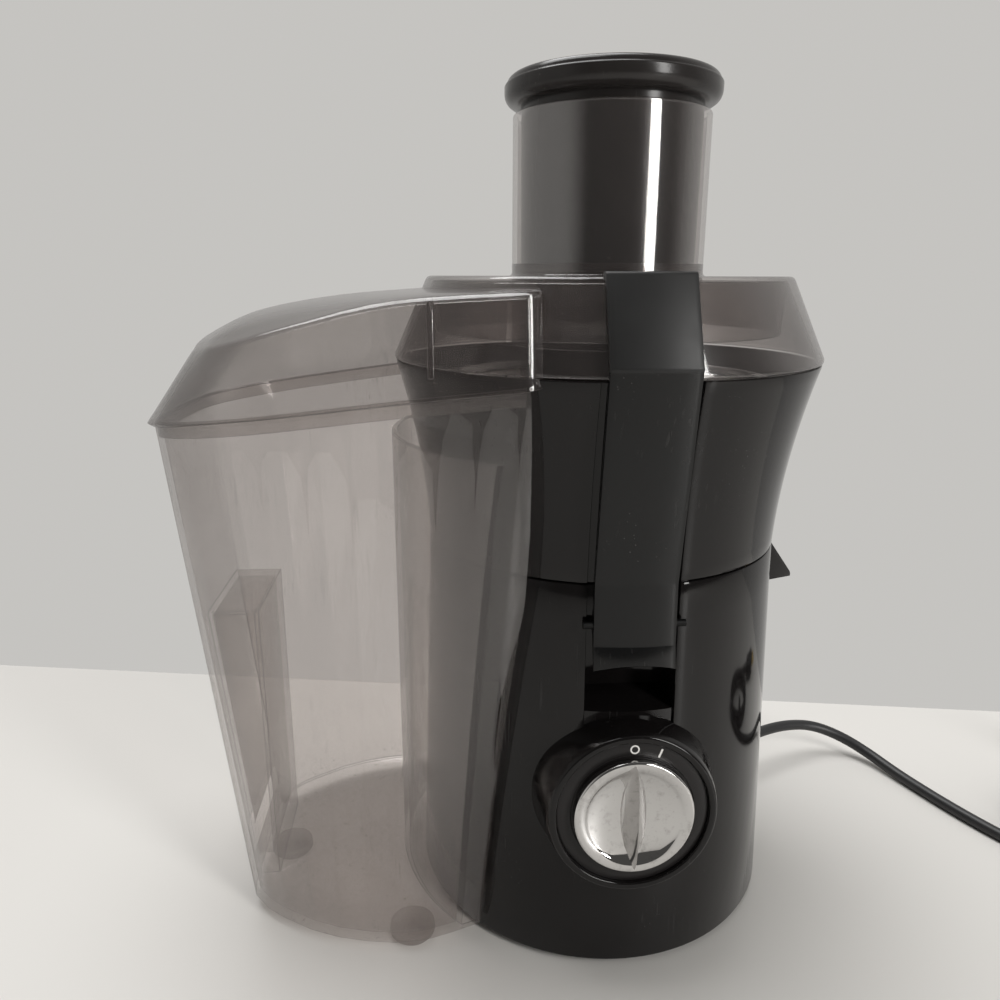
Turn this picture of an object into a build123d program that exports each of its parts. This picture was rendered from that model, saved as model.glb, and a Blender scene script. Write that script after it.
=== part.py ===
"""Centrifugal juicer with a side pulp bin, built as separate pieces.

Frame: +Z up, table at z = 0, motor axis on the Z axis, dial towards -Y, pulp bin towards -X.
Sizes are millimetres.
"""
import os
from math import cos, pi, radians, sin, tan

from build123d import *

os.makedirs("parts", exist_ok=True)

# ---------------------------------------------------------------- driving dimensions
wall = 2.5                      # moulded wall of the base, bowl, lid and bin
fit_gap = 0.3                   # gap between seated pieces
run_gap = 0.05                  # radial running clearance of shafts and pins

foot_height = 2.5               # rubber feet under the base
foot_radius = 9.0
base_bottom_r = 86.3            # outside of the base at its lower edge
base_top_r = 80.5               # outside of the base at the bowl seam
base_top_z = 175.5
deck_depth = 14.0               # how far the base's deck lies below its rim
plate_thick = 2.5

bowl_rim_r = 94.3
bowl_rim_z = 256.5
bowl_belly = 2.6                # how far the bowl's wall curves in from a straight cone
bowl_sleeve_r = 19.5            # sleeve around the drive in the middle of the bowl
bowl_sleeve_h = 27.5

lid_top_r = 79.0
lid_top_z = 292.0
lid_edge_gap = 0.9              # between the bowl's rim and the lid's lower edge
chute_r = 42.0
chute_top_z = 357.5
chute_drop = 30.0               # how far the chute hangs inside the lid

pusher_gap = 1.0                # radial, pusher in chute
pusher_overhang = 3.8           # how far the cap stands out beyond the chute
pusher_cap_h = 14.0
pusher_cap_gap = 3.0            # between the chute's mouth and the cap

shaft_r = 4.0
coupling_r = 7.8
rotor_r = 23.3
rotor_z = 72.0
rotor_h = 40.0

dial_z = 83.1                   # height of the dial's centre
dial_reach = 96.0               # from the motor axis to the dial's front
dial_tilt = 3.2                 # degrees, dial leans back
dial_r = 34.5
dial_face_r = 31.0
knob_r = 24.5
knob_shaft_r = 3.0

latch_width = 33.0
latch_pivot_r = 81.5            # radius and height of the latch pins
latch_pivot_z = 160.0
latch_pin_r = 1.5
latch_tip_z = 141.5             # lower end of the latch
pocket_depth_r = 62.0           # radius of the back wall behind the latch's lower end
pocket_low_z = 121.0

bin_gap_r = 94.5                # inner radius of the bin's curved wall
bin_low_z = 5.5
bin_rim_x = -46.0               # the rim plane passes here at bin_rim_z
bin_rim_z = 252.0
bin_rim_slope = 0.12
bin_curved_top_z = 224.5

cord_r = 3.1
cord_exit_angle = 27.0          # degrees from +X
cord_exit_z = 22.0
relief_length = 26.0
coil_x, coil_y = 276.0, -30.0
coil_mid_r = 34.0

# ---------------------------------------------------------------- shared shapes


def base_outer(z):
    """Outside radius of the base's cone at a height."""
    share = (z - foot_height) / (base_top_z - foot_height)
    return base_bottom_r + (base_top_r - base_bottom_r) * share


deck_z = base_top_z - deck_depth
deck_low = deck_z - wall
bowl_floor_z = deck_z + 1.0
bowl_skirt_r = base_top_r - wall - 0.8
lid_low_z = bowl_rim_z + lid_edge_gap
dial_dir = (0, -cos(radians(dial_tilt)), sin(radians(dial_tilt)))
dial_plane = Plane(origin=(0, -dial_reach, dial_z), x_dir=(1, 0, 0), z_dir=dial_dir)
pocket_half = latch_width / 2 + 2.0


def finish(piece, name):
    """Label a piece and write its file."""
    piece.part.label = name
    export_step(piece.part, "parts/" + name + ".step")


def turned(points):
    """Turn a closed outline of (radius, height) points about the motor axis."""
    with BuildSketch(Plane.XZ) as outline:
        with BuildLine():
            Polyline(*points, close=True)
        make_face()
    return revolve(outline.sketch, Axis.Z, mode=Mode.PRIVATE)


def tube(inner, outer, low, high):
    """Ring about the motor axis."""
    return turned([(inner, low), (outer, low), (outer, high), (inner, high)])


def rod(radius, low, high):
    """Cylinder about the motor axis."""
    return turned([(0, low), (radius, low), (radius, high), (0, high)])


# ---------------------------------------------------------------- base housing

exit_dir = (cos(radians(cord_exit_angle)), sin(radians(cord_exit_angle)), 0)
exit_r = base_outer(cord_exit_z)
exit_plane = Plane(origin=(exit_r * exit_dir[0], exit_r * exit_dir[1], cord_exit_z), z_dir=exit_dir)
relief_body_r = 6.0
spout_angle = 20.0
spout_half = 14.0
screw_ring_r = base_bottom_r - 8.8
screw_boss_r = 6.0
screw_r = 1.95
screw_top = 22.0
post_ring_r = 44.0
post_r = 5.0
bracket_top_z = 128.0
seal_r = 9.0
bush_r = 5.0

with BuildPart() as base_shell:
    add(turned([
        (base_bottom_r - wall, foot_height), (base_bottom_r, foot_height), (base_top_r, base_top_z),
        (base_top_r - wall, base_top_z), (base_outer(deck_z) - wall, deck_z), (seal_r, deck_z),
        (seal_r, deck_low), (base_outer(deck_low) - wall, deck_low)]))
    housing_out = base_top_r - 3.5
    housing_low = pocket_low_z - wall
    for side in (-1, 1):
        housing_deep = housing_out - pocket_depth_r + wall
        housing_mid = side * (housing_out - housing_deep / 2)
        with Locations((0, housing_mid, (housing_low + deck_low) / 2)):
            Box(2 * (pocket_half + wall), housing_deep, deck_low - housing_low)
        pocket_mid = side * (pocket_depth_r + 20)
        with Locations((0, pocket_mid, (pocket_low_z + deck_low) / 2)):
            Box(2 * pocket_half, 40, deck_low - pocket_low_z, mode=Mode.SUBTRACT)
        slot_in = bowl_skirt_r + 0.6
        with Locations((0, side * (slot_in + 10), (deck_low + base_top_z) / 2)):
            Box(2 * pocket_half, 20, base_top_z - deck_low + 2, mode=Mode.SUBTRACT)
        with Locations(Location((0, side * latch_pivot_r, latch_pivot_z), (0, 90, 0))):
            Cylinder(latch_pin_r + run_gap, 2 * pocket_half + 2 * wall + 4, mode=Mode.SUBTRACT)
    notch_mid = base_outer(deck_z)
    with Locations(Location((notch_mid * cos(radians(spout_angle)), notch_mid * sin(radians(spout_angle)),
                             deck_z + 10), (0, 0, spout_angle))):
        Box(14, 2 * spout_half + 2, 20, mode=Mode.SUBTRACT)
    boss_low = foot_height + plate_thick + 0.2
    boss_top = 44.0
    with PolarLocations(screw_ring_r, 4, start_angle=45):
        with Locations((0, 0, (boss_low + boss_top) / 2)):
            Cylinder(screw_boss_r, boss_top - boss_low)
        with Locations((0, 0, (boss_low + screw_top) / 2)):
            Cylinder(screw_r + run_gap, screw_top - boss_low + 1, mode=Mode.SUBTRACT)
    with PolarLocations(post_ring_r, 4, start_angle=45):
        with Locations((0, 0, (bracket_top_z + deck_low) / 2)):
            Cylinder(post_r, deck_low - bracket_top_z)
    with Locations(dial_plane.offset(-16)):
        Cylinder(bush_r + fit_gap, 20, mode=Mode.SUBTRACT)
    with Locations(exit_plane):
        Cylinder(relief_body_r + 0.2, 12, mode=Mode.SUBTRACT)
finish(base_shell, "base_shell")

plate_r = base_bottom_r - wall - 0.5
foot_ring_r = 62.0
with BuildPart() as base_bottom_plate:
    add(rod(plate_r, foot_height, foot_height + plate_thick))
    with BuildSketch(Plane.XY.offset(foot_height)):
        with GridLocations(9, 0, 7, 1):
            SlotOverall(52, 3.6, rotation=90)
    extrude(amount=plate_thick, mode=Mode.SUBTRACT)
    with PolarLocations(screw_ring_r, 4, start_angle=45):
        with Locations((0, 0, foot_height)):
            Cylinder(screw_r + 0.25, 2 * plate_thick + 1, mode=Mode.SUBTRACT)
            Cylinder(3.9, 2.4, mode=Mode.SUBTRACT)
finish(base_bottom_plate, "base_bottom_plate")

with BuildPart() as base_feet:
    with PolarLocations(foot_ring_r, 4, start_angle=45):
        with Locations((0, 0, foot_height / 2)):
            Cylinder(foot_radius, foot_height)
finish(base_feet, "base_feet")

with BuildPart() as bottom_screws:
    with PolarLocations(screw_ring_r, 4, start_angle=45):
        with Locations((0, 0, (foot_height + 1.2 + screw_top) / 2)):
            Cylinder(screw_r, screw_top - foot_height - 1.2)
        with Locations((0, 0, foot_height + 0.6)):
            Cylinder(3.6, 1.2)
finish(bottom_screws, "bottom_screws")

# ---------------------------------------------------------------- motor

stator_x, stator_y = 84.0, 88.0
stator_z, stator_h = 70.0, 44.0
bolt_x, bolt_y, bolt_r = 35.0, 37.0, 2.2
bearing_r, bearing_h = 11.0, 7.0
lower_bracket_z, bracket_t = 40.0, 4.0
upper_bracket_z = bracket_top_z - bracket_t
bolt_low, bolt_top = lower_bracket_z - 4.0, bracket_top_z - 0.3
shaft_low, shaft_top = 12.0, deck_z + 15.0

with BuildPart() as stator_core:
    with BuildSketch(Plane.XY.offset(stator_z)):
        RectangleRounded(stator_x, stator_y, 8)
        Circle(rotor_r + 0.7, mode=Mode.SUBTRACT)
        for side in (-1, 1):
            with Locations((side * (rotor_r + 3.6), 0)):
                Rectangle(8.6, 44, mode=Mode.SUBTRACT)
        with GridLocations(2 * bolt_x, 2 * bolt_y, 2, 2):
            Circle(bolt_r + fit_gap, mode=Mode.SUBTRACT)
    extrude(amount=stator_h)
finish(stator_core, "stator_core")

coil_over = 9.0                 # how far the field coils stand out of the stator
with BuildPart() as field_windings:
    with BuildSketch(Plane.XY.offset(stator_z - coil_over)):
        for side in (-1, 1):
            with Locations((side * (rotor_r + 4.3), 0)):
                Rectangle(6.0, 42.5)
    extrude(amount=stator_h + 2 * coil_over)
finish(field_windings, "field_windings")

with BuildPart() as armature:
    add(rod(rotor_r, rotor_z, rotor_z + rotor_h))
    add(rod(18, rotor_z - 6, rotor_z + rotor_h + 6))
    add(rod(shaft_r + 0.02, 0, 200), mode=Mode.SUBTRACT)
finish(armature, "armature")

commutator_r = 11.5
commutator_z = 52.0
with BuildPart() as commutator:
    add(tube(shaft_r + 0.02, commutator_r, commutator_z, rotor_z - 6.3))
finish(commutator, "commutator")

with BuildPart() as brush_holders:
    for side in (-1, 1):
        with Locations((side * (commutator_r + fit_gap + 9), 0, commutator_z + 4)):
            Box(18, 9, 8)
        with Locations((side * 24, 0, (lower_bracket_z + bracket_t + commutator_z) / 2)):
            Box(8, 9, commutator_z - lower_bracket_z - bracket_t)
finish(brush_holders, "brush_holders")

with BuildPart() as motor_upper_bracket:
    with BuildSketch(Plane.XY.offset(upper_bracket_z)):
        RectangleRounded(stator_x, stator_y, 10)
        Circle(bearing_r, mode=Mode.SUBTRACT)
        with GridLocations(2 * bolt_x, 2 * bolt_y, 2, 2):
            Circle(bolt_r + fit_gap, mode=Mode.SUBTRACT)
    extrude(amount=bracket_t)
    add(tube(bearing_r, bearing_r + 3, upper_bracket_z - 5, upper_bracket_z))
finish(motor_upper_bracket, "motor_upper_bracket")

with BuildPart() as motor_lower_bracket:
    with BuildSketch(Plane.XY.offset(lower_bracket_z)):
        RectangleRounded(stator_x, stator_y, 10)
        Circle(bearing_r, mode=Mode.SUBTRACT)
        with GridLocations(2 * bolt_x, 2 * bolt_y, 2, 2):
            Circle(bolt_r + fit_gap, mode=Mode.SUBTRACT)
    extrude(amount=bracket_t)
    add(tube(bearing_r, bearing_r + 3, lower_bracket_z - 5, lower_bracket_z))
    with BuildSketch(Plane.XY.offset(lower_bracket_z + bracket_t)):
        with GridLocations(2 * bolt_x, 2 * bolt_y, 2, 2):
            Circle(5)
            Circle(bolt_r + fit_gap, mode=Mode.SUBTRACT)
    extrude(amount=stator_z - lower_bracket_z - bracket_t)
finish(motor_lower_bracket, "motor_lower_bracket")

with BuildPart() as motor_bolts:
    with GridLocations(2 * bolt_x, 2 * bolt_y, 2, 2):
        with Locations((0, 0, (bolt_low + bolt_top) / 2)):
            Cylinder(bolt_r, bolt_top - bolt_low)
        with Locations((0, 0, bolt_low + 2)):
            Cylinder(4.2, 3.6)
finish(motor_bolts, "motor_bolts")

with BuildPart() as motor_spacers:
    spacer_low = stator_z + stator_h
    with BuildSketch(Plane.XY.offset(spacer_low)):
        with GridLocations(2 * bolt_x, 2 * bolt_y, 2, 2):
            Circle(5)
            Circle(bolt_r + fit_gap, mode=Mode.SUBTRACT)
    extrude(amount=upper_bracket_z - spacer_low)
finish(motor_spacers, "motor_spacers")

upper_bearing_z = upper_bracket_z - 4.0
lower_bearing_z = lower_bracket_z - 4.0
for bearing_name, bearing_z in (("upper_bearing", upper_bearing_z), ("lower_bearing", lower_bearing_z)):
    with BuildPart() as bearing:
        add(tube(shaft_r + run_gap, bearing_r - 0.02, bearing_z, bearing_z + bearing_h))
    finish(bearing, bearing_name)

with BuildPart() as motor_shaft:
    add(rod(shaft_r, shaft_low, shaft_top))
    chamfer(motor_shaft.edges().sort_by(Axis.Z)[-1], 0.8)
finish(motor_shaft, "motor_shaft")

fan_r, fan_z, fan_h = 38.0, 16.0, 11.0
with BuildPart() as cooling_fan:
    add(tube(shaft_r + 0.02, 8, fan_z, fan_z + fan_h))
    add(tube(7, fan_r, fan_z, fan_z + 1.6))
    with PolarLocations(22.5, 9):
        with Locations(Location((0, 0, fan_z + fan_h / 2), (0, 0, 25))):
            Box(27, 1.6, fan_h)
finish(cooling_fan, "cooling_fan")

with BuildPart() as shaft_seal:
    add(tube(shaft_r + run_gap, seal_r - 0.05, deck_low, deck_z))
finish(shaft_seal, "shaft_seal")

coupling_low = deck_z + 0.6
coupling_top = shaft_top + 2.0
with BuildPart() as drive_coupling:
    add(rod(coupling_r, coupling_low, coupling_top))
    add(rod(shaft_r + 0.02, 0, shaft_top + 0.1), mode=Mode.SUBTRACT)
    with PolarLocations(coupling_r, 6):
        with Locations((0, 0, (coupling_low + coupling_top) / 2 + 3)):
            Cylinder(1.2, coupling_top - coupling_low, mode=Mode.SUBTRACT)
finish(drive_coupling, "drive_coupling")

# ---------------------------------------------------------------- dial and switch

collar_floor = -6.0             # back of the collar's recess, from the dial's front
dial_sink = 2.0                 # dial face below the collar's front
with BuildPart() as dial_collar:
    with BuildSketch(dial_plane.offset(-26)):
        Circle(dial_r + 5.2)
    with BuildSketch(dial_plane):
        Circle(dial_r)
    loft()
    fillet(dial_collar.edges().sort_by(Axis.Y)[0], 1.6)
    with Locations(dial_plane.offset(-2)):
        Cylinder(dial_face_r, 4, mode=Mode.SUBTRACT)
    with Locations(dial_plane.offset(-16)):
        Cylinder(bush_r + fit_gap, 40, mode=Mode.SUBTRACT)
    add(turned([(0, 0), (base_bottom_r + 0.1, foot_height), (base_top_r + 0.1, base_top_z), (0, base_top_z)]),
        mode=Mode.SUBTRACT)
finish(dial_collar, "dial_collar")

with BuildPart() as dial_face:
    with Locations(dial_plane.offset(-dial_sink - 1)):
        Cylinder(dial_face_r - 0.1, 1.9)
        Cylinder(knob_shaft_r + 0.2, 4, mode=Mode.SUBTRACT)
finish(dial_face, "dial_face")

mark_r = 27.9
mark_angle = 22.0               # from the off mark to the on mark
with BuildPart() as dial_marks:
    with BuildSketch(dial_plane.offset(-dial_sink - 0.03)):
        with Locations((0, mark_r)):
            Circle(1.9)
            Circle(1.3, mode=Mode.SUBTRACT)
        mark_x = mark_r * sin(radians(mark_angle))
        mark_y = mark_r * cos(radians(mark_angle))
        with Locations((mark_x, mark_y)):
            Rectangle(0.8, 3.8, rotation=-mark_angle)
    extrude(amount=0.2)
finish(dial_marks, "dial_marks")

ridge_reach = 8.0
with BuildPart() as knob:
    with Locations(dial_plane.offset(0.2)):
        Cylinder(knob_r, 3.6)
    fillet(knob.edges().sort_by(Axis.Y)[0], 1.2)
    with BuildSketch(dial_plane.offset(1)):
        SlotOverall(2 * knob_r - 2, 5, rotation=90)
    extrude(amount=ridge_reach - 1, taper=6)
finish(knob, "knob")

switch_front = -26.0
with BuildPart() as knob_shaft:
    with Locations(dial_plane.offset((switch_front - 8 - 1.7) / 2)):
        Cylinder(knob_shaft_r, -switch_front + 8 - 1.7)
finish(knob_shaft, "knob_shaft")

with BuildPart() as rotary_switch:
    with Locations(dial_plane.offset(switch_front - 8)):
        Box(28, 28, 16)
    with Locations(dial_plane.offset((switch_front - dial_sink - 2.2) / 2)):
        Cylinder(bush_r, -switch_front - dial_sink - 2.2)
    with Locations(dial_plane.offset(switch_front / 2 - 6)):
        Cylinder(knob_shaft_r + run_gap, -switch_front + 18, mode=Mode.SUBTRACT)
finish(rotary_switch, "rotary_switch")

# ---------------------------------------------------------------- bowl with spout


def bowl_profile(inset, low):
    """Middle and top points of the bowl's curved wall, moved inwards."""
    middle = ((base_top_r + bowl_rim_r) / 2 - bowl_belly - inset, (low + bowl_rim_z) / 2)
    return middle, (bowl_rim_r - inset, bowl_rim_z)


seam_z = base_top_z + 0.4
shelf_z = bowl_rim_z - 16.5
spout_tip_t = base_top_r + 32.5
spout_mouth_z = base_top_z - 38.5
spout_wall = 1.5
spout_back_t = base_outer(spout_mouth_z) + 1.0
spout_plane = Plane(origin=(0, 0, 0), x_dir=(cos(radians(spout_angle)), sin(radians(spout_angle)), 0),
                    z_dir=(sin(radians(spout_angle)), -cos(radians(spout_angle)), 0))
with BuildPart() as juice_bowl:
    with BuildSketch(Plane.XZ):
        with BuildLine():
            out_mid, out_top = bowl_profile(0, seam_z)
            in_mid, in_top = bowl_profile(wall, seam_z)
            ThreePointArc((base_top_r, seam_z), out_mid, out_top)
            Line(out_top, in_top)
            ThreePointArc(in_top, in_mid, (base_top_r - wall, seam_z + wall))
            Polyline((base_top_r - wall, seam_z + wall), (bowl_skirt_r - wall, seam_z - 2),
                     (bowl_skirt_r - wall, bowl_floor_z + wall), (bowl_sleeve_r, bowl_floor_z + wall),
                     (bowl_sleeve_r, bowl_floor_z + wall + bowl_sleeve_h),
                     (bowl_sleeve_r - wall, bowl_floor_z + wall + bowl_sleeve_h),
                     (bowl_sleeve_r - wall, bowl_floor_z), (bowl_skirt_r, bowl_floor_z),
                     (bowl_skirt_r, seam_z), (base_top_r, seam_z))
        make_face()
    revolve(axis=Axis.Z)
    add(tube(bowl_rim_r - 14.3, bowl_rim_r - 4.4, shelf_z, shelf_z + wall))
    with BuildSketch(spout_plane):
        with BuildLine():
            Polyline((bowl_skirt_r - 1, bowl_floor_z), (bowl_skirt_r - 1, seam_z + wall),
                     (base_top_r + 0.5, seam_z + wall), (spout_tip_t, spout_mouth_z + 2),
                     (spout_tip_t, spout_mouth_z), (spout_back_t, spout_mouth_z),
                     (spout_back_t, bowl_floor_z), close=True)
        make_face()
    extrude(amount=spout_half, both=True)
    with BuildSketch(spout_plane):
        with BuildLine():
            Polyline((bowl_skirt_r - 8, bowl_floor_z + wall), (bowl_skirt_r - 8, seam_z - 2),
                     (base_top_r, seam_z), (spout_tip_t - spout_wall, spout_mouth_z + 1.2),
                     (spout_tip_t - spout_wall, spout_mouth_z - 5),
                     (spout_back_t + spout_wall, spout_mouth_z - 5),
                     (spout_back_t + spout_wall, bowl_floor_z + wall), close=True)
        make_face()
    extrude(amount=spout_half - spout_wall, both=True, mode=Mode.SUBTRACT)
finish(juice_bowl, "juice_bowl")

# ---------------------------------------------------------------- strainer basket

sleeve_top = bowl_floor_z + wall + bowl_sleeve_h
dome_in = bowl_sleeve_r + 1.5
strainer_disc_z = bowl_floor_z + 14.0
strainer_disc_r = 47.0
dome_top = sleeve_top + 5.0
socket_low = coupling_low + 9.0
mesh_top_z = shelf_z + 3.8
mesh_top_r = bowl_rim_r - 18.0
with BuildPart() as strainer_frame:
    add(tube(coupling_r + fit_gap, coupling_r + 3.2, socket_low, dome_top - 1))
    add(rod(dome_in + 2, dome_top - wall, dome_top))
    add(tube(dome_in, dome_in + 2, strainer_disc_z, dome_top))
    add(tube(dome_in, strainer_disc_r, strainer_disc_z, strainer_disc_z + wall))
finish(strainer_frame, "strainer_frame")

cutter_z = strainer_disc_z + wall + 0.2
with BuildPart() as cutter_disc:
    add(tube(dome_in + 2.5, strainer_disc_r - 0.5, cutter_z, cutter_z + 1))
    for ring, count in ((28.0, 14), (33.0, 17), (38.0, 20), (43.0, 23)):
        with PolarLocations(ring, count, start_angle=ring):
            with Locations((0, 0, cutter_z + 1.6)):
                Box(0.9, 2.6, 3.0)
finish(cutter_disc, "cutter_disc")

with BuildPart() as strainer_mesh:
    add(turned([(strainer_disc_r + 0.2, strainer_disc_z), (strainer_disc_r + 1.0, strainer_disc_z),
                (mesh_top_r, mesh_top_z - 0.3), (mesh_top_r - 0.8, mesh_top_z - 0.3)]))
finish(strainer_mesh, "strainer_mesh")

with BuildPart() as strainer_rim:
    add(turned([(mesh_top_r - 2, mesh_top_z), (mesh_top_r + 8, mesh_top_z),
                (mesh_top_r + 8, mesh_top_z + 2.5), (mesh_top_r - 1, mesh_top_z + 4)]))
finish(strainer_rim, "strainer_rim")

# ---------------------------------------------------------------- pulp bin

rim_normal = (-bin_rim_slope, 0, 1)
rim_plane = Plane(origin=(bin_rim_x, 0, bin_rim_z), z_dir=rim_normal)
bin_low_outline = [(-50, -58), (-61.6, -64.5), (-73.5, -68.9), (-86, -72.8), (-98.5, -73.3), (-111, -71.5),
                   (-124, -68.3), (-137, -63), (-151, -54.5), (-159, -48.5), (-166.5, -39.5), (-168.5, -30)]
bin_high_outline = [(-39, -87.5), (-44, -87), (-60, -84), (-75, -80.5), (-91, -77.5), (-108, -75.5),
                    (-126, -74), (-144, -71), (-163, -65), (-177, -57.5), (-189, -48), (-193, -36)]
bin_high_z = 257.5


def mirrored(points):
    """Close a half outline by its mirror image across the XZ plane."""
    return points + [(x, -y) for x, y in reversed(points)]


def bin_loft(inset, low, high):
    """Solid between the bin's lower and upper outlines, moved inwards by inset."""
    with BuildPart() as body:
        for level, points in ((low, bin_low_outline), (high, bin_high_outline)):
            with BuildSketch(Plane.XY.offset(level)):
                with BuildLine():
                    Polyline(*mirrored(points), close=True)
                make_face()
                if inset:
                    offset(amount=-inset, kind=Kind.INTERSECTION)
        loft(ruled=True)
    return body.part


bin_outer = bin_loft(0, bin_low_z, bin_high_z)
bin_inner = bin_loft(wall, bin_low_z, bin_high_z)
bin_skin = bin_loft(3.5, bin_low_z, bin_high_z)
pocket_back_x = -160.0
pocket_y = 25.0
pocket_top_z = 144.5
plate_low_z = 35.5
pocket_floor_z = 18.0

with BuildPart() as bin_hollow:
    add(bin_inner)
    add(rod(bin_gap_r + wall, 0, bin_curved_top_z), mode=Mode.SUBTRACT)
    add(rod(300, 0, bin_low_z + 3), mode=Mode.SUBTRACT)

with BuildPart() as bin_gap:
    add(bin_inner)
    with Locations((0, 0, bin_low_z - 1)):
        Cylinder(bin_gap_r, 300, align=(Align.CENTER, Align.CENTER, Align.MIN), mode=Mode.INTERSECT)

with BuildPart() as bin_pocket_block:
    add(bin_outer)
    with Locations((pocket_back_x + wall - 50, 0, (bin_low_z + pocket_top_z + wall) / 2)):
        Box(100, 2 * (pocket_y + wall), pocket_top_z + wall - bin_low_z, mode=Mode.INTERSECT)

with BuildPart() as bin_pocket:
    add(bin_skin)
    with Locations((pocket_back_x - 50, 0, (pocket_floor_z + pocket_top_z) / 2)):
        Box(100, 2 * pocket_y, pocket_top_z - pocket_floor_z, mode=Mode.INTERSECT)

with BuildPart() as pulp_bin:
    add(bin_outer)
    add(bin_hollow.part, mode=Mode.SUBTRACT)
    add(bin_gap.part, mode=Mode.SUBTRACT)
    add(bin_pocket_block.part)
    add(bin_pocket.part, mode=Mode.SUBTRACT)
    with Locations((pocket_back_x - 50, 0, (pocket_floor_z + plate_low_z) / 2)):
        Box(100, 2 * pocket_y, plate_low_z - pocket_floor_z, mode=Mode.SUBTRACT)
    core_r = base_bottom_r + 1.7
    add(turned([(0, 0), (core_r, 0), (core_r, base_top_z - 1), (bowl_rim_r + 2.7, bowl_rim_z),
                (bowl_rim_r + 2.7, 300), (0, 300)]), mode=Mode.SUBTRACT)
    split(bisect_by=rim_plane, keep=Keep.BOTTOM)
finish(pulp_bin, "pulp_bin")

with BuildPart() as bin_feet:
    with Locations((-91.5, -61, bin_low_z / 2), (-91.5, 61, bin_low_z / 2), (-156, 0, bin_low_z / 2)):
        Cylinder(10.5, bin_low_z)
finish(bin_feet, "bin_feet")

# ---------------------------------------------------------------- lid with chute

ridge = [(-20, lid_top_z - 2.5), (-56, lid_top_z - 4.5), (-82, lid_top_z - 6), (-113, lid_top_z - 8.5),
         (-135, lid_top_z - 12), (-153, lid_top_z - 17), (-166, lid_top_z - 24)]
cover_end_x = -193.5


def rim_height(x):
    """Height of the bin's rim plane at x."""
    return bin_rim_z + bin_rim_slope * (x - bin_rim_x)


def cover_solid(inset, low_drop):
    """Cover over the bin as a solid: the bin's own outline, cut by the ridge above and the rim below."""
    with BuildPart() as body:
        add(bin_loft(inset, bin_low_z, bin_high_z))
        with BuildSketch(Plane.XY.offset(bin_high_z)):
            with BuildLine():
                Polyline(*mirrored(bin_high_outline), close=True)
            make_face()
            if inset:
                offset(amount=-inset, kind=Kind.INTERSECTION)
        extrude(amount=lid_top_z - bin_high_z)
        end_x = cover_end_x + inset
        low = rim_height(end_x) + fit_gap - low_drop
        with BuildSketch(Plane.XZ):
            with BuildLine():
                top = [(x, z - inset) for x, z in ridge]
                Polyline((-10, rim_height(-10) + fit_gap - low_drop), (-10, lid_top_z - 2 - inset), *top,
                         (end_x, low + 2 + low_drop), (end_x, low), close=True)
            make_face()
        extrude(amount=100, both=True, mode=Mode.INTERSECT)
    return body.part


inner_ring_r = lid_top_r - 2.0
skirt_drop = 6.0
with BuildPart() as lid:
    add(turned([(0, lid_low_z), (bowl_rim_r, lid_low_z), (lid_top_r, lid_top_z), (0, lid_top_z)]))
    add(cover_solid(0, 0))
    add(cover_solid(wall + 0.4, skirt_drop))
    add(cover_solid(2 * wall + 0.4, skirt_drop + 20), mode=Mode.SUBTRACT)
    add(turned([(0, 200), (bowl_rim_r + 1.2, 200), (bowl_rim_r + 1.2, lid_low_z - 0.6), (0, lid_low_z - 0.6)]),
        mode=Mode.SUBTRACT)
    add(turned([(0, lid_low_z - 1), (bowl_rim_r - wall, lid_low_z - 1), (bowl_rim_r - wall, lid_low_z),
                (lid_top_r - wall, lid_top_z - wall), (0, lid_top_z - wall)]), mode=Mode.SUBTRACT)
    add(tube(inner_ring_r - wall, inner_ring_r, lid_top_z - 24, lid_top_z - wall / 2))
    add(rod(chute_r, lid_top_z - chute_drop, chute_top_z))
    add(rod(chute_r - wall, 0, chute_top_z + 1), mode=Mode.SUBTRACT)
finish(lid, "lid")

# ---------------------------------------------------------------- pusher

pusher_r = chute_r - wall - pusher_gap
pusher_low_z = dome_top + 14.0
pusher_cap_r = chute_r + pusher_overhang
with BuildPart() as pusher_body:
    add(rod(pusher_r, pusher_low_z, chute_top_z + pusher_cap_gap))
    add(rod(pusher_r - wall, pusher_low_z + wall, chute_top_z + pusher_cap_gap + 1), mode=Mode.SUBTRACT)
finish(pusher_body, "pusher_body")

with BuildPart() as pusher_cap:
    cap_z = chute_top_z + pusher_cap_gap
    add(rod(pusher_cap_r, cap_z, cap_z + pusher_cap_h - 1.5))
    fillet(pusher_cap.edges(), pusher_cap_h / 2 - 1.0)
    add(rod(pusher_cap_r - 6, cap_z, cap_z + pusher_cap_h))
finish(pusher_cap, "pusher_cap")

# ---------------------------------------------------------------- latches

hook_in_r = lid_top_r + 1.0
hook_low_z = lid_top_z - 1.0
latch_thick = 3.0


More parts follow.
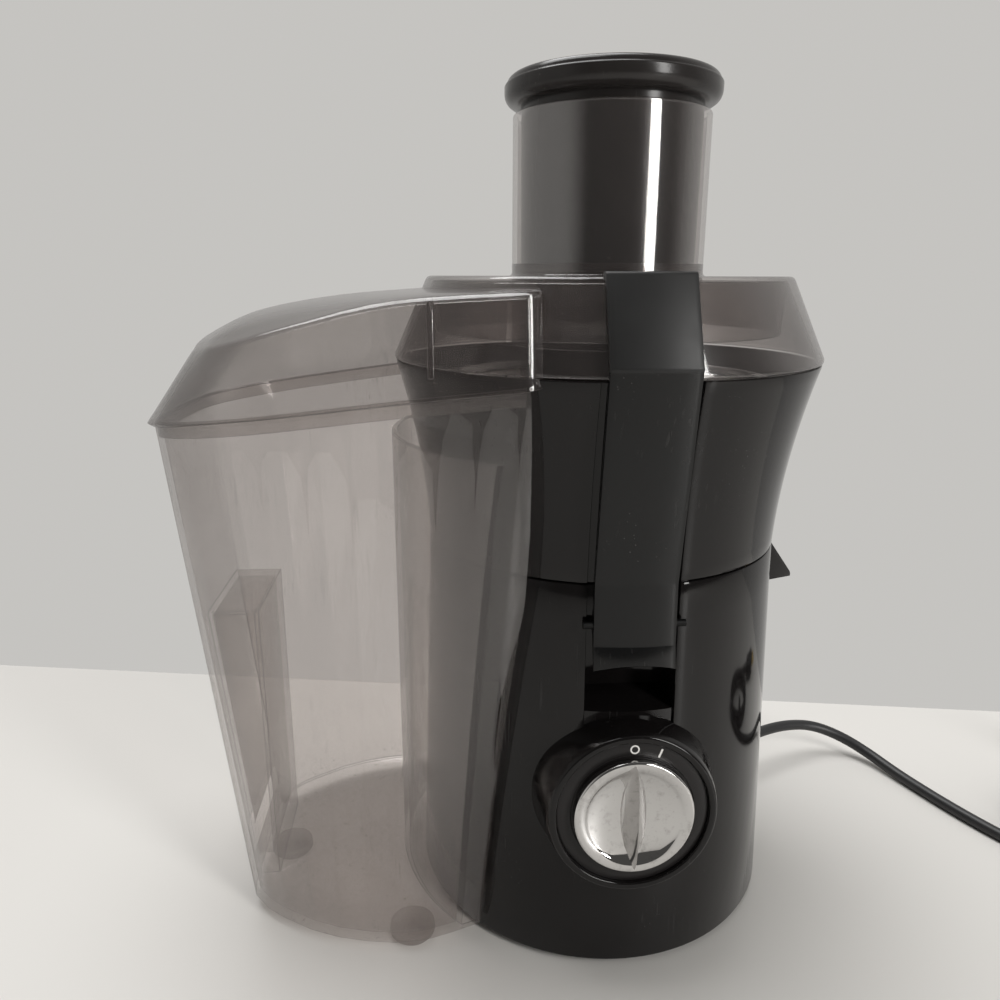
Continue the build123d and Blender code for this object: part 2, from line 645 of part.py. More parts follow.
def latch(side):
    """Over-lid latch at the front (side -1) or the rear (side 1)."""
    with BuildPart() as body:
        with BuildSketch(Plane(origin=(0, 0, 0), x_dir=(0, side, 0), z_dir=(side, 0, 0))):
            with BuildLine():
                bend_r = bowl_rim_r + 1.1
                bend_z = lid_low_z + 3.0
                kink_r = base_top_r + 0.7
                kink_z = base_top_z + 1.5
                Polyline((hook_in_r, hook_low_z), (hook_in_r, hook_low_z + 2.6), (hook_in_r + 3, hook_low_z + 2.8),
                         (bend_r + 2.6, bend_z + 1.0), (kink_r + latch_thick, kink_z),
                         (kink_r + latch_thick + 1.2, latch_pivot_z - 8), (kink_r + 6.4, latch_tip_z),
                         (kink_r + 3.9, latch_tip_z), (kink_r + 0.9, latch_pivot_z - 5),
                         (latch_pivot_r - 2, latch_pivot_z - 3), (latch_pivot_r - 2.6, latch_pivot_z + 2),
                         (kink_r, latch_pivot_z + 5), (kink_r, kink_z), (bend_r, bend_z),
                         (hook_in_r + 2.6, hook_low_z - 1.0), close=True)
            make_face()
            with Locations((latch_pivot_r, latch_pivot_z)):
                Circle(latch_pin_r + run_gap, mode=Mode.SUBTRACT)
        extrude(amount=latch_width / 2, both=True)
    return body


front_latch = latch(-1)
finish(front_latch, "front_latch")
rear_latch = latch(1)
finish(rear_latch, "rear_latch")

with BuildPart() as latch_pins:
    for side in (-1, 1):
        with Locations(Location((0, side * latch_pivot_r, latch_pivot_z), (0, 90, 0))):
            Cylinder(latch_pin_r, 2 * pocket_half + 2 * wall - 1)
finish(latch_pins, "latch_pins")

# ---------------------------------------------------------------- cord, strain relief and plug

with BuildPart() as strain_relief:
    with Locations(exit_plane.offset(-4)):
        Cylinder(relief_body_r, 6)
        with Locations((0, 0, -3)):
            Cylinder(relief_body_r + 2.4, 2.4, align=(Align.CENTER, Align.CENTER, Align.MAX))
    with BuildSketch(exit_plane.offset(-1)):
        Circle(relief_body_r)
    with BuildSketch(exit_plane.offset(relief_length)):
        Circle(cord_r + 0.9)
    loft()
finish(strain_relief, "strain_relief")

relief_end_r = exit_r + relief_length + 0.05
cord_start = (relief_end_r * exit_dir[0], relief_end_r * exit_dir[1], cord_exit_z)
coil_entry_angle = radians(-125)
coil_out_r = coil_mid_r + 8.0
coil_height = 19.0
coil_low = 1.3                  # the tie passes under the coil
entry_r = coil_mid_r + 4.0
cord_end = (coil_x + entry_r * cos(coil_entry_angle), coil_y + entry_r * sin(coil_entry_angle), cord_r + 0.1)
cord_points = [cord_start, (119, 60.5, 22), (138, 68, 21), (157, 72.5, 17.5), (174.5, 68, 11.5), (187, 56.5, 6.2),
               (195, 39, 3.6), (202.5, 20, 3.2), (210.5, 1, 3.2), (220, -18, 3.2), (231, -35.5, 3.2),
               (243, -50, 3.2), cord_end]


def arc_radii(points):
    """Radius of the tangent arc at each corner, 0.45 of the shorter run over tan(half turn)."""
    radii = []
    for before, here, after in zip(points, points[1:], points[2:]):
        run_in = Vector(*here) - Vector(*before)
        run_out = Vector(*after) - Vector(*here)
        half_turn = radians(run_in.get_angle(run_out)) / 2
        radii.append(0.45 * min(run_in.length, run_out.length) / tan(half_turn))
    return radii


cord_radii = arc_radii(cord_points)
print("cord radii", [round(radius, 1) for radius in cord_radii])
with BuildPart() as power_cord:
    with BuildLine() as cord_path:
        FilletPolyline(*cord_points, radius=cord_radii)
    with BuildSketch(Plane(origin=cord_path.line @ 0, z_dir=cord_path.line % 0)):
        Circle(cord_r)
    sweep()
cord_length = cord_path.wires()[0].length
print("cord length", round(cord_length, 1), "volume ratio",
      round(power_cord.part.volume / (cord_length * pi * cord_r ** 2), 4))
finish(power_cord, "power_cord")

with BuildPart() as cord_coil:
    with BuildSketch(Plane.XZ.offset(-coil_y)):
        with Locations((coil_x + coil_mid_r, coil_low + coil_height / 2)):
            RectangleRounded(2 * (coil_out_r - coil_mid_r), coil_height, 5)
    revolve(axis=Axis((coil_x, coil_y, 0), (0, 0, 1)))
finish(cord_coil, "cord_coil")

plug_x = coil_x + coil_mid_r
plug_z = 10.0
neck_start = coil_y + 23.0
neck_length = 21.0
plug_length = 36.0
with BuildPart() as plug:
    plug_back = neck_start + neck_length
    with BuildSketch(Plane.XZ.offset(-neck_start)):
        with Locations((plug_x, plug_z)):
            Circle(cord_r + 0.9)
    with BuildSketch(Plane.XZ.offset(-plug_back - 2)):
        with Locations((plug_x, plug_z)):
            Circle(6)
    loft()
    with BuildSketch(Plane.XZ.offset(-plug_back)):
        with Locations((plug_x, plug_z)):
            RectangleRounded(25, 17, 5)
    extrude(amount=-plug_length)
finish(plug, "plug")

with BuildPart() as plug_pins:
    for side in (-1, 1):
        with Locations((plug_x + side * 6.35, plug_back + plug_length + 8.6, plug_z)):
            Box(1.5, 17, 6.3)
finish(plug_pins, "plug_pins")

with BuildPart() as cord_tie:
    tie_x = coil_x - coil_mid_r
    with BuildSketch(Plane.XZ.offset(-coil_y)):
        with Locations((tie_x + 0.3, coil_low + coil_height / 2)):
            RectangleRounded(19.0, coil_height + 2 * coil_low, 6)
            RectangleRounded(17.0, coil_height + 0.6, 5, mode=Mode.SUBTRACT)
    extrude(amount=3, both=True)
finish(cord_tie, "cord_tie")
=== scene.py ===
"""Looks of a centrifugal juicer with a side pulp bin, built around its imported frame.

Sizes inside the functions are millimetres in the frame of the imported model; meshes are in metres.
"""

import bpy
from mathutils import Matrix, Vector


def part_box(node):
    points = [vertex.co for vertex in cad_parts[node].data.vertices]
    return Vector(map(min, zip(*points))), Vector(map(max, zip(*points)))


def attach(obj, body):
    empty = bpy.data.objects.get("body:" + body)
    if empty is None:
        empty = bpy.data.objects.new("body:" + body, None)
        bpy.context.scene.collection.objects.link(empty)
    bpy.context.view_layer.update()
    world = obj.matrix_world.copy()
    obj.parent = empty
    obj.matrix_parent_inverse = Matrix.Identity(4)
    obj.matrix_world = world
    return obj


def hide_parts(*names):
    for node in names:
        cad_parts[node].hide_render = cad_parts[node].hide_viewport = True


bl_info = {
    "name": "Centrifugal Juicer",
    "version": (1, 0, 0),
    "blender": (4, 5, 0),
    "location": "View3D > Sidebar > Juicer",
    "description": "Builds the juicer's shells, clear lid and bin, latches, dial, cord and studio",
    "category": "Add Mesh",
}

import math

import bmesh
import bpy
from bpy.props import FloatProperty, FloatVectorProperty, IntProperty, PointerProperty
from mathutils import Matrix, Vector

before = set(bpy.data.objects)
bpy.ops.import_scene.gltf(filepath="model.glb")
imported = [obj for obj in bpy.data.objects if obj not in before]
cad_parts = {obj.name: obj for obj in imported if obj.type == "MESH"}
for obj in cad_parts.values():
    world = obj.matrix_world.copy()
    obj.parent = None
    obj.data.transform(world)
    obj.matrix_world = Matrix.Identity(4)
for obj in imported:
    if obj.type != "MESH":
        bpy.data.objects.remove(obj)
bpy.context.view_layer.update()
MM = 0.001
FRONT, REAR = -1, 1


def span(node):
    """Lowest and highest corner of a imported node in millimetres."""
    low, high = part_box(node)
    return low / MM, high / MM


# ---------------------------------------------------------------- sizes taken from the frame

BASE_LOW, BASE_TOP = span("base_shell")[0].z, span("base_shell")[1].z
BASE_FOOT_R = span("base_bottom_plate")[1].x + 3.0
BASE_RIM_R = 80.5
BOWL_TOP, BOWL_RIM_R = span("juice_bowl")[1].z, -span("juice_bowl")[0].x
CHUTE_TOP = span("lid")[1].z
PUSHER_R, PUSHER_LOW = span("pusher_body")[1].x, span("pusher_body")[0].z
CAP_R, CAP_LOW, CAP_TOP = span("pusher_cap")[1].x, span("pusher_cap")[0].z, span("pusher_cap")[1].z
LATCH_LOW, LATCH_TOP = span("front_latch")[0].z, span("front_latch")[1].z
LATCH_HALF = span("front_latch")[1].x
MESH_R, MESH_TOP = span("strainer_mesh")[1].x, span("strainer_mesh")[1].z
STRAINER_LOW = span("strainer_mesh")[0].z
STRAINER_FLOOR_R = span("strainer_frame")[1].x
RIM_LOW, RIM_R = span("strainer_rim")[0].z, span("strainer_rim")[1].x


# ---------------------------------------------------------------- settings that a user would change


class JuicerSizes(bpy.types.PropertyGroup):
    """Sizes of the moulded shells."""

    wall: FloatProperty(name="Wall", description="Thickness of the moulded walls", default=0.0022,
                        unit="LENGTH")
    channel_width: FloatProperty(name="Channel Width",
                                 description="Width of the channel that a latch lies in",
                                 default=0.037, unit="LENGTH")
    channel_depth: FloatProperty(name="Channel Depth", description="Depth of the latch channel",
                                 default=0.0013, unit="LENGTH")
    lid_top: FloatProperty(name="Lid Height", description="Height of the flat top of the lid",
                           default=0.292, unit="LENGTH")
    lid_top_radius: FloatProperty(name="Lid Top Radius", description="Radius of the flat top of the lid",
                                  default=0.079, unit="LENGTH")
    chute_radius: FloatProperty(name="Chute Radius", description="Outside radius of the feed chute",
                                default=0.042, unit="LENGTH")
    dial_radius: FloatProperty(name="Dial Radius", description="Outside radius of the dial's front ring",
                               default=0.0345, unit="LENGTH")
    knob_radius: FloatProperty(name="Knob Radius", description="Radius of the plated knob",
                               default=0.0245, unit="LENGTH")
    perforations: IntProperty(name="Perforations", description="Holes in each row of the strainer",
                              default=84, min=12, max=160)


class JuicerCordSizes(bpy.types.PropertyGroup):
    """Sizes of the power cord."""

    diameter: FloatProperty(name="Diameter", description="Outside diameter of the cord", default=0.0062,
                            unit="LENGTH")
    length: FloatProperty(name="Length", description="Length from the strain relief to the plug",
                          default=0.98, unit="LENGTH")
    coil_radius: FloatProperty(name="Coil Radius", description="Middle radius of the put-away coil",
                               default=0.034, unit="LENGTH")


class JuicerColours(bpy.types.PropertyGroup):
    """Colours of the finishes."""

    black: FloatVectorProperty(name="Black Plastic", description="Colour of the glossy shells",
                               subtype="COLOR", default=(0.0048, 0.0042, 0.0042))
    smoke: FloatVectorProperty(name="Smoke", description="Tint of the clear lid and bin",
                               subtype="COLOR", default=(0.060, 0.050, 0.048))
    steel: FloatVectorProperty(name="Steel", description="Colour of the bare steel", subtype="COLOR",
                               default=(0.55, 0.54, 0.52))
    table: FloatVectorProperty(name="Table", description="Colour of the table top", subtype="COLOR",
                               default=(0.66, 0.645, 0.62))
    wall: FloatVectorProperty(name="Wall", description="Colour of the room around", subtype="COLOR",
                              default=(0.56, 0.55, 0.53))


def sizes():
    """The sizes of the shells, in millimetres, by name."""
    group = bpy.context.scene.juicer_sizes
    names = ("wall", "channel_width", "channel_depth", "lid_top", "lid_top_radius", "chute_radius",
             "dial_radius", "knob_radius")
    return {name: getattr(group, name) / MM for name in names}


# ---------------------------------------------------------------- outlines and meshes


def rounded(corners, steps=5):
    """Outline whose corners (x, y, radius) are turned into arcs; a radius of 0 stays sharp."""
    points = []
    count = len(corners)
    for index, (x, y, radius) in enumerate(corners):
        here = Vector((x, y))
        if not radius:
            points.append((x, y))
            continue
        before = (Vector(corners[index - 1][:2]) - here).normalized()
        after = (Vector(corners[(index + 1) % count][:2]) - here).normalized()
        half = before.angle(after) / 2
        centre = here + (before + after).normalized() * radius / math.sin(half)
        start = here + before * radius / math.tan(half) - centre
        end = here + after * radius / math.tan(half) - centre
        sweep = start.angle(end)
        for step in range(steps + 1):
            share = step / steps
            swing = start * math.sin((1 - share) * sweep) + end * math.sin(share * sweep)
            points.append(tuple(centre + swing / math.sin(sweep)))
    return points


def smooth_line(points, steps=6):
    """Points of any dimension joined by a smooth line through all of them."""
    found = []
    points = [Vector(p) for p in points]
    last = len(points) - 1
    for index in range(last):
        a, b = points[index], points[index + 1]
        before, after = points[max(index - 1, 0)], points[min(index + 2, last)]
        for step in range(steps):
            t = step / steps
            found.append(0.5 * (2 * a + (b - before) * t + (2 * before - 5 * a + 4 * b - after) * t * t
                                + (3 * a - before - 3 * b + after) * t ** 3))
    found.append(points[-1])
    return found


def blend_between(low, high, share):
    """Number between low and high, eased at both ends."""
    share = min(max(share, 0), 1)
    return low + (high - low) * share * share * (3 - 2 * share)


def piece_of(mesh_data, name):
    """Turn a bmesh into a linked object."""
    mesh = bpy.data.meshes.new(name)
    mesh_data.to_mesh(mesh)
    mesh_data.free()
    piece = bpy.data.objects.new(name, mesh)
    bpy.context.scene.collection.objects.link(piece)
    return piece


def skin(name, rows, around=True, loop=False, caps=False, leave_out=None, recalculate=False):
    """Mesh through rows of points in millimetres. A row of one point is a pole."""
    data = bmesh.new()
    made = [[data.verts.new(Vector(p) * MM) for p in row] for row in rows]
    pairs = list(zip(made, made[1:]))
    if loop:
        pairs.append((made[-1], made[0]))
    for level, (low, high) in enumerate(pairs):
        count = max(len(low), len(high))
        for k in range(count if around else count - 1):
            if leave_out and leave_out(level, k):
                continue
            j = (k + 1) % count
            corners = [low[k % len(low)], low[j % len(low)], high[j % len(high)], high[k % len(high)]]
            data.faces.new(list(dict.fromkeys(corners)))
    if caps:
        data.faces.new(list(reversed(made[0])))
        data.faces.new(made[-1])
    if recalculate:
        bmesh.ops.recalc_face_normals(data, faces=data.faces)
    return piece_of(data, name)


def lathe(name, outline, segments=144, place=None):
    """Closed mesh turned about Z from a loop of (radius, height)."""
    rows = []
    for radius, height in outline:
        if radius < 1e-6:
            rows.append([(0, 0, height)])
            continue
        turns = [2 * math.pi * k / segments for k in range(segments)]
        rows.append([(radius * math.cos(a), radius * math.sin(a), height) for a in turns])
    on_axis = len(rows[0]) == 1 and len(rows[-1]) == 1
    piece = skin(name, rows, loop=not on_axis, recalculate=True)
    if place:
        piece.data.transform(place)
    return piece


def add_modifier(piece, kind, **values):
    """Add one modifier with its values."""
    modifier = piece.modifiers.new(kind.title(), kind)
    for key, value in values.items():
        setattr(modifier, key, value)
    return modifier


def settle(piece):
    """Turn a piece and its modifiers into one plain mesh."""
    graph = bpy.context.evaluated_depsgraph_get()
    mesh = bpy.data.meshes.new_from_object(piece.evaluated_get(graph))
    mesh.name = piece.name
    piece.modifiers.clear()
    piece.data = mesh
    return piece


def soften(piece, angle=34):
    """Shade a piece smooth, apart from edges sharper than an angle in degrees."""
    data = bmesh.new()
    data.from_mesh(piece.data)
    for face in data.faces:
        face.smooth = True
    for edge in data.edges:
        edge.smooth = len(edge.link_faces) != 2 or edge.calc_face_angle(0) < math.radians(angle)
    data.to_mesh(piece.data)
    data.free()
    return piece


def bevelled(piece, width, segments=2, angle=40):
    """Round the sharp edges of a piece by a width in millimetres."""
    add_modifier(piece, "BEVEL", width=width * MM, segments=segments, limit_method="ANGLE",
                 angle_limit=math.radians(angle), harden_normals=False, miter_outer="MITER_ARC")
    return settle(piece)


def dark_edged(piece, width, angle):
    """Round the sharp edges of a clear piece, with the strips along them in a second material."""
    piece.data.materials.clear()
    for name in ("smoke_bin", "smoke_edge"):
        piece.data.materials.append(finish(name))
    add_modifier(piece, "BEVEL", width=width * MM, segments=2, limit_method="ANGLE", material=1,
                 angle_limit=math.radians(angle), harden_normals=False, miter_outer="MITER_ARC")
    return settle(piece)


def thickened(piece, wall):
    """Give an open sheet a wall behind its outer face."""
    add_modifier(piece, "SOLIDIFY", thickness=wall * MM, offset=-1, use_even_offset=True)
    return settle(piece)


def joined(name, pieces):
    """One piece made from several."""
    data = bmesh.new()
    for piece in pieces:
        data.from_mesh(piece.data)
        bpy.data.objects.remove(piece)
    return piece_of(data, name)


def copy_of(node, name):
    """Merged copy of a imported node's mesh."""
    data = bmesh.new()
    data.from_mesh(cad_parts[node].data)
    bmesh.ops.remove_doubles(data, verts=data.verts, dist=0.01 * MM)
    return piece_of(data, name)


def finished(piece, material, body, slot, *nodes):
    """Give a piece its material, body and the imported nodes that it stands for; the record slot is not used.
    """
    edges = [face.material_index for face in piece.data.polygons] if isinstance(material, tuple) else []
    piece.data.materials.clear()
    for name in material if edges else (material,):
        piece.data.materials.append(finish(name))
    if edges:
        piece.data.polygons.foreach_set("material_index", edges)
    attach(piece, body)
    if nodes:
        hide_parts(*nodes)
    return piece


# ---------------------------------------------------------------- geometry nodes: items in a ring


def ring_tree():
    """Node group that sets an item around a circle, each turned to face outwards."""
    tree = bpy.data.node_groups.get("items_in_ring")
    if tree:
        return tree
    tree = bpy.data.node_groups.new("items_in_ring", "GeometryNodeTree")
    tree.interface.new_socket("Geometry", in_out="OUTPUT", socket_type="NodeSocketGeometry")
    kinds = {"Item": "Object", "Count": "Int", "Radius": "Float", "Height": "Float", "Turn": "Float",
             "Material": "Material"}
    for name, kind in kinds.items():
        tree.interface.new_socket(name, in_out="INPUT", socket_type="NodeSocket" + kind)
    new = tree.nodes.new
    given, result = new("NodeGroupInput"), new("NodeGroupOutput")
    circle, item = new("GeometryNodeMeshCircle"), new("GeometryNodeObjectInfo")
    move, where = new("GeometryNodeTransform"), new("ShaderNodeCombineXYZ")
    turn, place = new("ShaderNodeCombineXYZ"), new("GeometryNodeInputPosition")
    flat, aim = new("ShaderNodeVectorMath"), new("FunctionNodeAlignRotationToVector")
    setting, real = new("GeometryNodeInstanceOnPoints"), new("GeometryNodeRealizeInstances")
    painted = new("GeometryNodeSetMaterial")
    flat.operation = "MULTIPLY"
    flat.inputs[1].default_value = (1, 1, 0)
    aim.axis = "X"
    links = [
        (given.outputs["Count"], circle.inputs["Vertices"]),
        (given.outputs["Radius"], circle.inputs["Radius"]),
        (given.outputs["Item"], item.inputs["Object"]), (given.outputs["Height"], where.inputs["Z"]),
        (given.outputs["Turn"], turn.inputs["Z"]), (circle.outputs["Mesh"], move.inputs["Geometry"]),
        (where.outputs[0], move.inputs["Translation"]), (turn.outputs[0], move.inputs["Rotation"]),
        (move.outputs["Geometry"], setting.inputs["Points"]),
        (item.outputs["Geometry"], setting.inputs["Instance"]),
        (place.outputs[0], flat.inputs[0]), (flat.outputs[0], aim.inputs["Vector"]),
        (aim.outputs["Rotation"], setting.inputs["Rotation"]),
        (setting.outputs["Instances"], real.inputs["Geometry"]),
        (real.outputs["Geometry"], painted.inputs["Geometry"]),
        (given.outputs["Material"], painted.inputs["Material"]),
        (painted.outputs["Geometry"], result.inputs["Geometry"]),
    ]
    for start, end in links:
        tree.links.new(start, end)
    return tree


def ring_of(name, item, count, radius, height, material, turn=0.0):
    """Plain mesh of an item repeated around the motor axis; sizes in millimetres."""
    holder = bpy.data.objects.new(name, bpy.data.meshes.new(name))
    bpy.context.scene.collection.objects.link(holder)
    modifier = holder.modifiers.new("Ring", "NODES")
    modifier.node_group = ring_tree()
    values = {"Item": item, "Count": count, "Radius": radius * MM, "Height": height * MM, "Turn": turn,
              "Material": finish(material)}
    for socket in modifier.node_group.interface.items_tree:
        if socket.in_out == "INPUT":
            modifier[socket.identifier] = values[socket.name]
    return settle(holder)


# ---------------------------------------------------------------- shader expressions


class Value:
    """A number or colour in a material, which sums and products can use."""

    def __init__(self, maker, socket):
        self.maker = maker
        self.socket = socket

    def maths(self, operation, other, flipped=False):
        first, second = (other, self) if flipped else (self, other)
        return self.maker.node("ShaderNodeMath", {"operation": operation}, {0: first, 1: second})

    def __add__(self, other):
        return self.maths("ADD", other)

    def __sub__(self, other):
        return self.maths("SUBTRACT", other)

    def __rsub__(self, other):
        return self.maths("SUBTRACT", other, flipped=True)

    def __mul__(self, other):
        return self.maths("MULTIPLY", other)

    def __pow__(self, other):
        return self.maths("POWER", other)

    __radd__ = __add__
    __rmul__ = __mul__

    def above(self, low, high):
        """0 below low, 1 above high."""
        values = {"Value": self, "From Min": low, "From Max": high}
        return self.maker.node("ShaderNodeMapRange", {"clamp": True}, values)


class Maker:
    """One material and the nodes behind it."""

    def __init__(self, name):
        self.material = bpy.data.materials.new(name)
        self.material.use_nodes = True
        self.tree = self.material.node_tree
        self.tree.nodes.clear()
        self.output = self.tree.nodes.new("ShaderNodeOutputMaterial")
        self.place = self.node("ShaderNodeTexCoord", out="Object")

    def node(self, kind, settings=None, values=None, out=0):
        made = self.tree.nodes.new(kind)
        for key, value in (settings or {}).items():
            setattr(made, key, value)
        for key, value in (values or {}).items():
            if isinstance(value, Value):
                self.tree.links.new(value.socket, made.inputs[key])
            else:
                made.inputs[key].default_value = value
        return Value(self, made.outputs[out])

    def stretched(self, x, y, z):
        return self.node("ShaderNodeMapping", values={"Vector": self.place, "Scale": (x, y, z)})

    def noise(self, scale, detail=2.0, rough=0.5, where=None):
        values = {"Vector": where or self.place, "Scale": scale, "Detail": detail, "Roughness": rough}
        return self.node("ShaderNodeTexNoise", values=values)

    def cells(self, scale, where=None):
        return self.node("ShaderNodeTexVoronoi", values={"Vector": where or self.place, "Scale": scale})

    def height(self):
        """Height above the table, in metres."""
        return self.node("ShaderNodeSeparateXYZ", values={"Vector": self.place}, out="Z")

    def mixed(self, share, first, second):
        values = {0: share, 6: colour(first), 7: colour(second)}
        return self.node("ShaderNodeMix", {"data_type": "RGBA"}, values, out=2)

    def bump(self, height, strength, distance=0.0002):
        return self.node("ShaderNodeBump",
                         values={"Height": height, "Strength": strength, "Distance": distance})

    def surface(self, **values):
        named = {key.replace("_", " "): value for key, value in values.items()}
        return self.node("ShaderNodeBsdfPrincipled", values=named)

    def done(self, shader):
        self.tree.links.new(shader.socket, self.output.inputs["Surface"])
        return self.material


def colour(value):
    """A colour with its alpha, or a link left as it is."""
    return value if isinstance(value, Value) else (*tuple(value)[:3], 1.0)


def wear(maker):
    """Fine dust specks and hairline scratches of used glossy plastic, each from 0 to 1."""
    specks = 1 - maker.cells(420).above(0.055, 0.10)
    patches = maker.noise(22, 3, 0.6).above(0.52, 0.66)
    lines = maker.noise(900, 1, 0.4, maker.stretched(1.0, 1.0, 0.04)).above(0.66, 0.72)
    return specks * patches, lines * maker.noise(30).above(0.5, 0.65)


def glossy_black():
    """Polished black moulding with dust, hairlines and a slow ripple."""
    maker = Maker("glossy_black_plastic")
    black = tuple(bpy.context.scene.juicer_colours.black)
    dust, hairs = wear(maker)
    grey = tuple(c * 1.6 + 0.09 for c in black)
    tone = maker.mixed(maker.noise(9, 3), black, tuple(c * 1.7 for c in black))
    tone = maker.mixed(dust * 0.75 + hairs * 0.12, tone, grey)
    rough = maker.noise(14, 4).above(0.3, 0.8) * 0.06 + 0.055 + dust * 0.35
    ripple = maker.bump(maker.noise(26, 1), 0.10, 0.0008)
    return maker.done(maker.surface(Base_Color=tone, Roughness=rough, Normal=ripple, IOR=1.36))


def satin_black(name, tone_low, tone_high, rough, grain=2600, matt_and_painted_light_above=0.0):
    """Fine-grained black moulding; above a height, if one is given, rougher and painted a lighter tone as
    painted light on the top.
    """
    maker = Maker(name)
    dust, hairs = wear(maker)
    tone = maker.mixed(maker.noise(40, 3), tone_low, tone_high)
    tone = maker.mixed(dust * 0.6 + hairs * 0.1, tone, (0.16, 0.155, 0.15))
    skin_bump = maker.bump(maker.noise(grain, 2, 0.6), 0.18, 0.00006)
    varied = maker.noise(60, 3).above(0.3, 0.8) * 0.10 + rough
    if matt_and_painted_light_above:
        upper = maker.height().above(matt_and_painted_light_above - 0.001, matt_and_painted_light_above)
        varied = varied + upper * 0.26
        # Painted light: above the height the tone is made lighter, standing for light falling on the latch's
        # top; the added roughness is the real finish.
        tone = maker.mixed(upper, tone, tuple(c * 2.4 for c in tone_high))
    return maker.done(maker.surface(Base_Color=tone, Roughness=varied, Normal=skin_bump, IOR=1.37))


def smoke(name, cover, gloss=0.05, residue=0.0, grazing=0.42):
    """Smoke-clear moulding: most light passes, edges and grazing views turn darker and glossier."""
    maker = Maker(name)
    tint = tuple(bpy.context.scene.juicer_colours.smoke)
    facing = maker.node("ShaderNodeLayerWeight", values={"Blend": 0.5}, out="Facing")
    dust, hairs = wear(maker)
    cloudy = maker.noise(12, 4, 0.6).above(0.35, 0.75)
    share = facing ** 2.4 * grazing + cover + cloudy * cover * 0.25 + dust * 0.5 + hairs * 0.10
    tone = maker.mixed(dust, tint, (0.42, 0.38, 0.33))
    if residue:
        dirt = maker.noise(380, 4, 0.7).above(0.62, 0.72) * (1 - maker.height().above(0.010, residue))
        share = share + dirt * 0.4
        tone = maker.mixed(dirt, tone, (0.20, 0.13, 0.075))
    share = share.maths("MINIMUM", 1.0)
    film = maker.surface(Base_Color=tone, Roughness=0.32)
    clear = maker.node("ShaderNodeBsdfTransparent", values={"Color": (1.0, 0.982, 0.974, 1)})
    body = maker.node("ShaderNodeMixShader", values={0: share, 1: clear, 2: film})
    shine = maker.node("ShaderNodeBsdfAnisotropic", values={"Color": (1, 1, 1, 1), "Roughness": 0.06})
    edge = facing ** 4.0 * 0.45 + gloss
    return maker.done(maker.node("ShaderNodeMixShader", values={0: edge, 1: body, 2: shine}))


def metal(name, tone, rough, grain=(1, 1, 1), scale=300, stain=0.12):
    """Metal with a drawn or turned grain and slight stains."""
    maker = Maker(name)
    streaks = maker.noise(scale, 3, 0.6, maker.stretched(*grain))
    dull = maker.noise(35, 3)
    shade = maker.mixed(dull.above(0.35, 0.8) * stain * 4, tone, tuple(c * 0.72 for c in tone))
    varied = streaks * 0.14 + rough + dull * 0.05
    bump = maker.bump(streaks, 0.08, 0.0001)
    return maker.done(maker.surface(Base_Color=shade, Metallic=1.0, Roughness=varied, Normal=bump))


def chrome():
    """Bright plating with faint water marks."""
    maker = Maker("bright_chrome")
    marks = maker.noise(240, 4, 0.7).above(0.54, 0.66)
    spots = 1 - maker.cells(700).above(0.08, 0.16)
    tone = maker.mixed(marks * 0.35 + spots * 0.3, (0.58, 0.57, 0.56), (0.30, 0.29, 0.28))
    rough = marks * 0.10 + spots * 0.10 + 0.035
    return maker.done(maker.surface(Base_Color=tone, Metallic=1.0, Roughness=rough))


def plain(name, low, high, rough, scale=400, bump=0.1, **more):
    """Two close tones with a fine grain, for rubber, copper wire, print and pads."""
    maker = Maker(name)
    grain = maker.noise(scale, 3, 0.6)
    tone = maker.mixed(grain, low, high)
    varied = maker.noise(80, 2) * 0.12 + rough
    return maker.done(maker.surface(Base_Color=tone, Roughness=varied, Normal=maker.bump(grain, bump),
                                    **more))


def tabletop():
    """Pale painted table top with faint marks."""
    maker = Maker("pale_table")
    tone = tuple(bpy.context.scene.juicer_colours.table)
    marks = maker.noise(900, 3, 0.7).above(0.70, 0.78)
    shade = maker.mixed(maker.noise(3, 3) * 0.5 + marks * 0.25, tone, tuple(c * 0.90 for c in tone))
    return maker.done(maker.surface(Base_Color=shade, Roughness=0.42,
                                    Normal=maker.bump(maker.noise(60, 4), 0.04)))


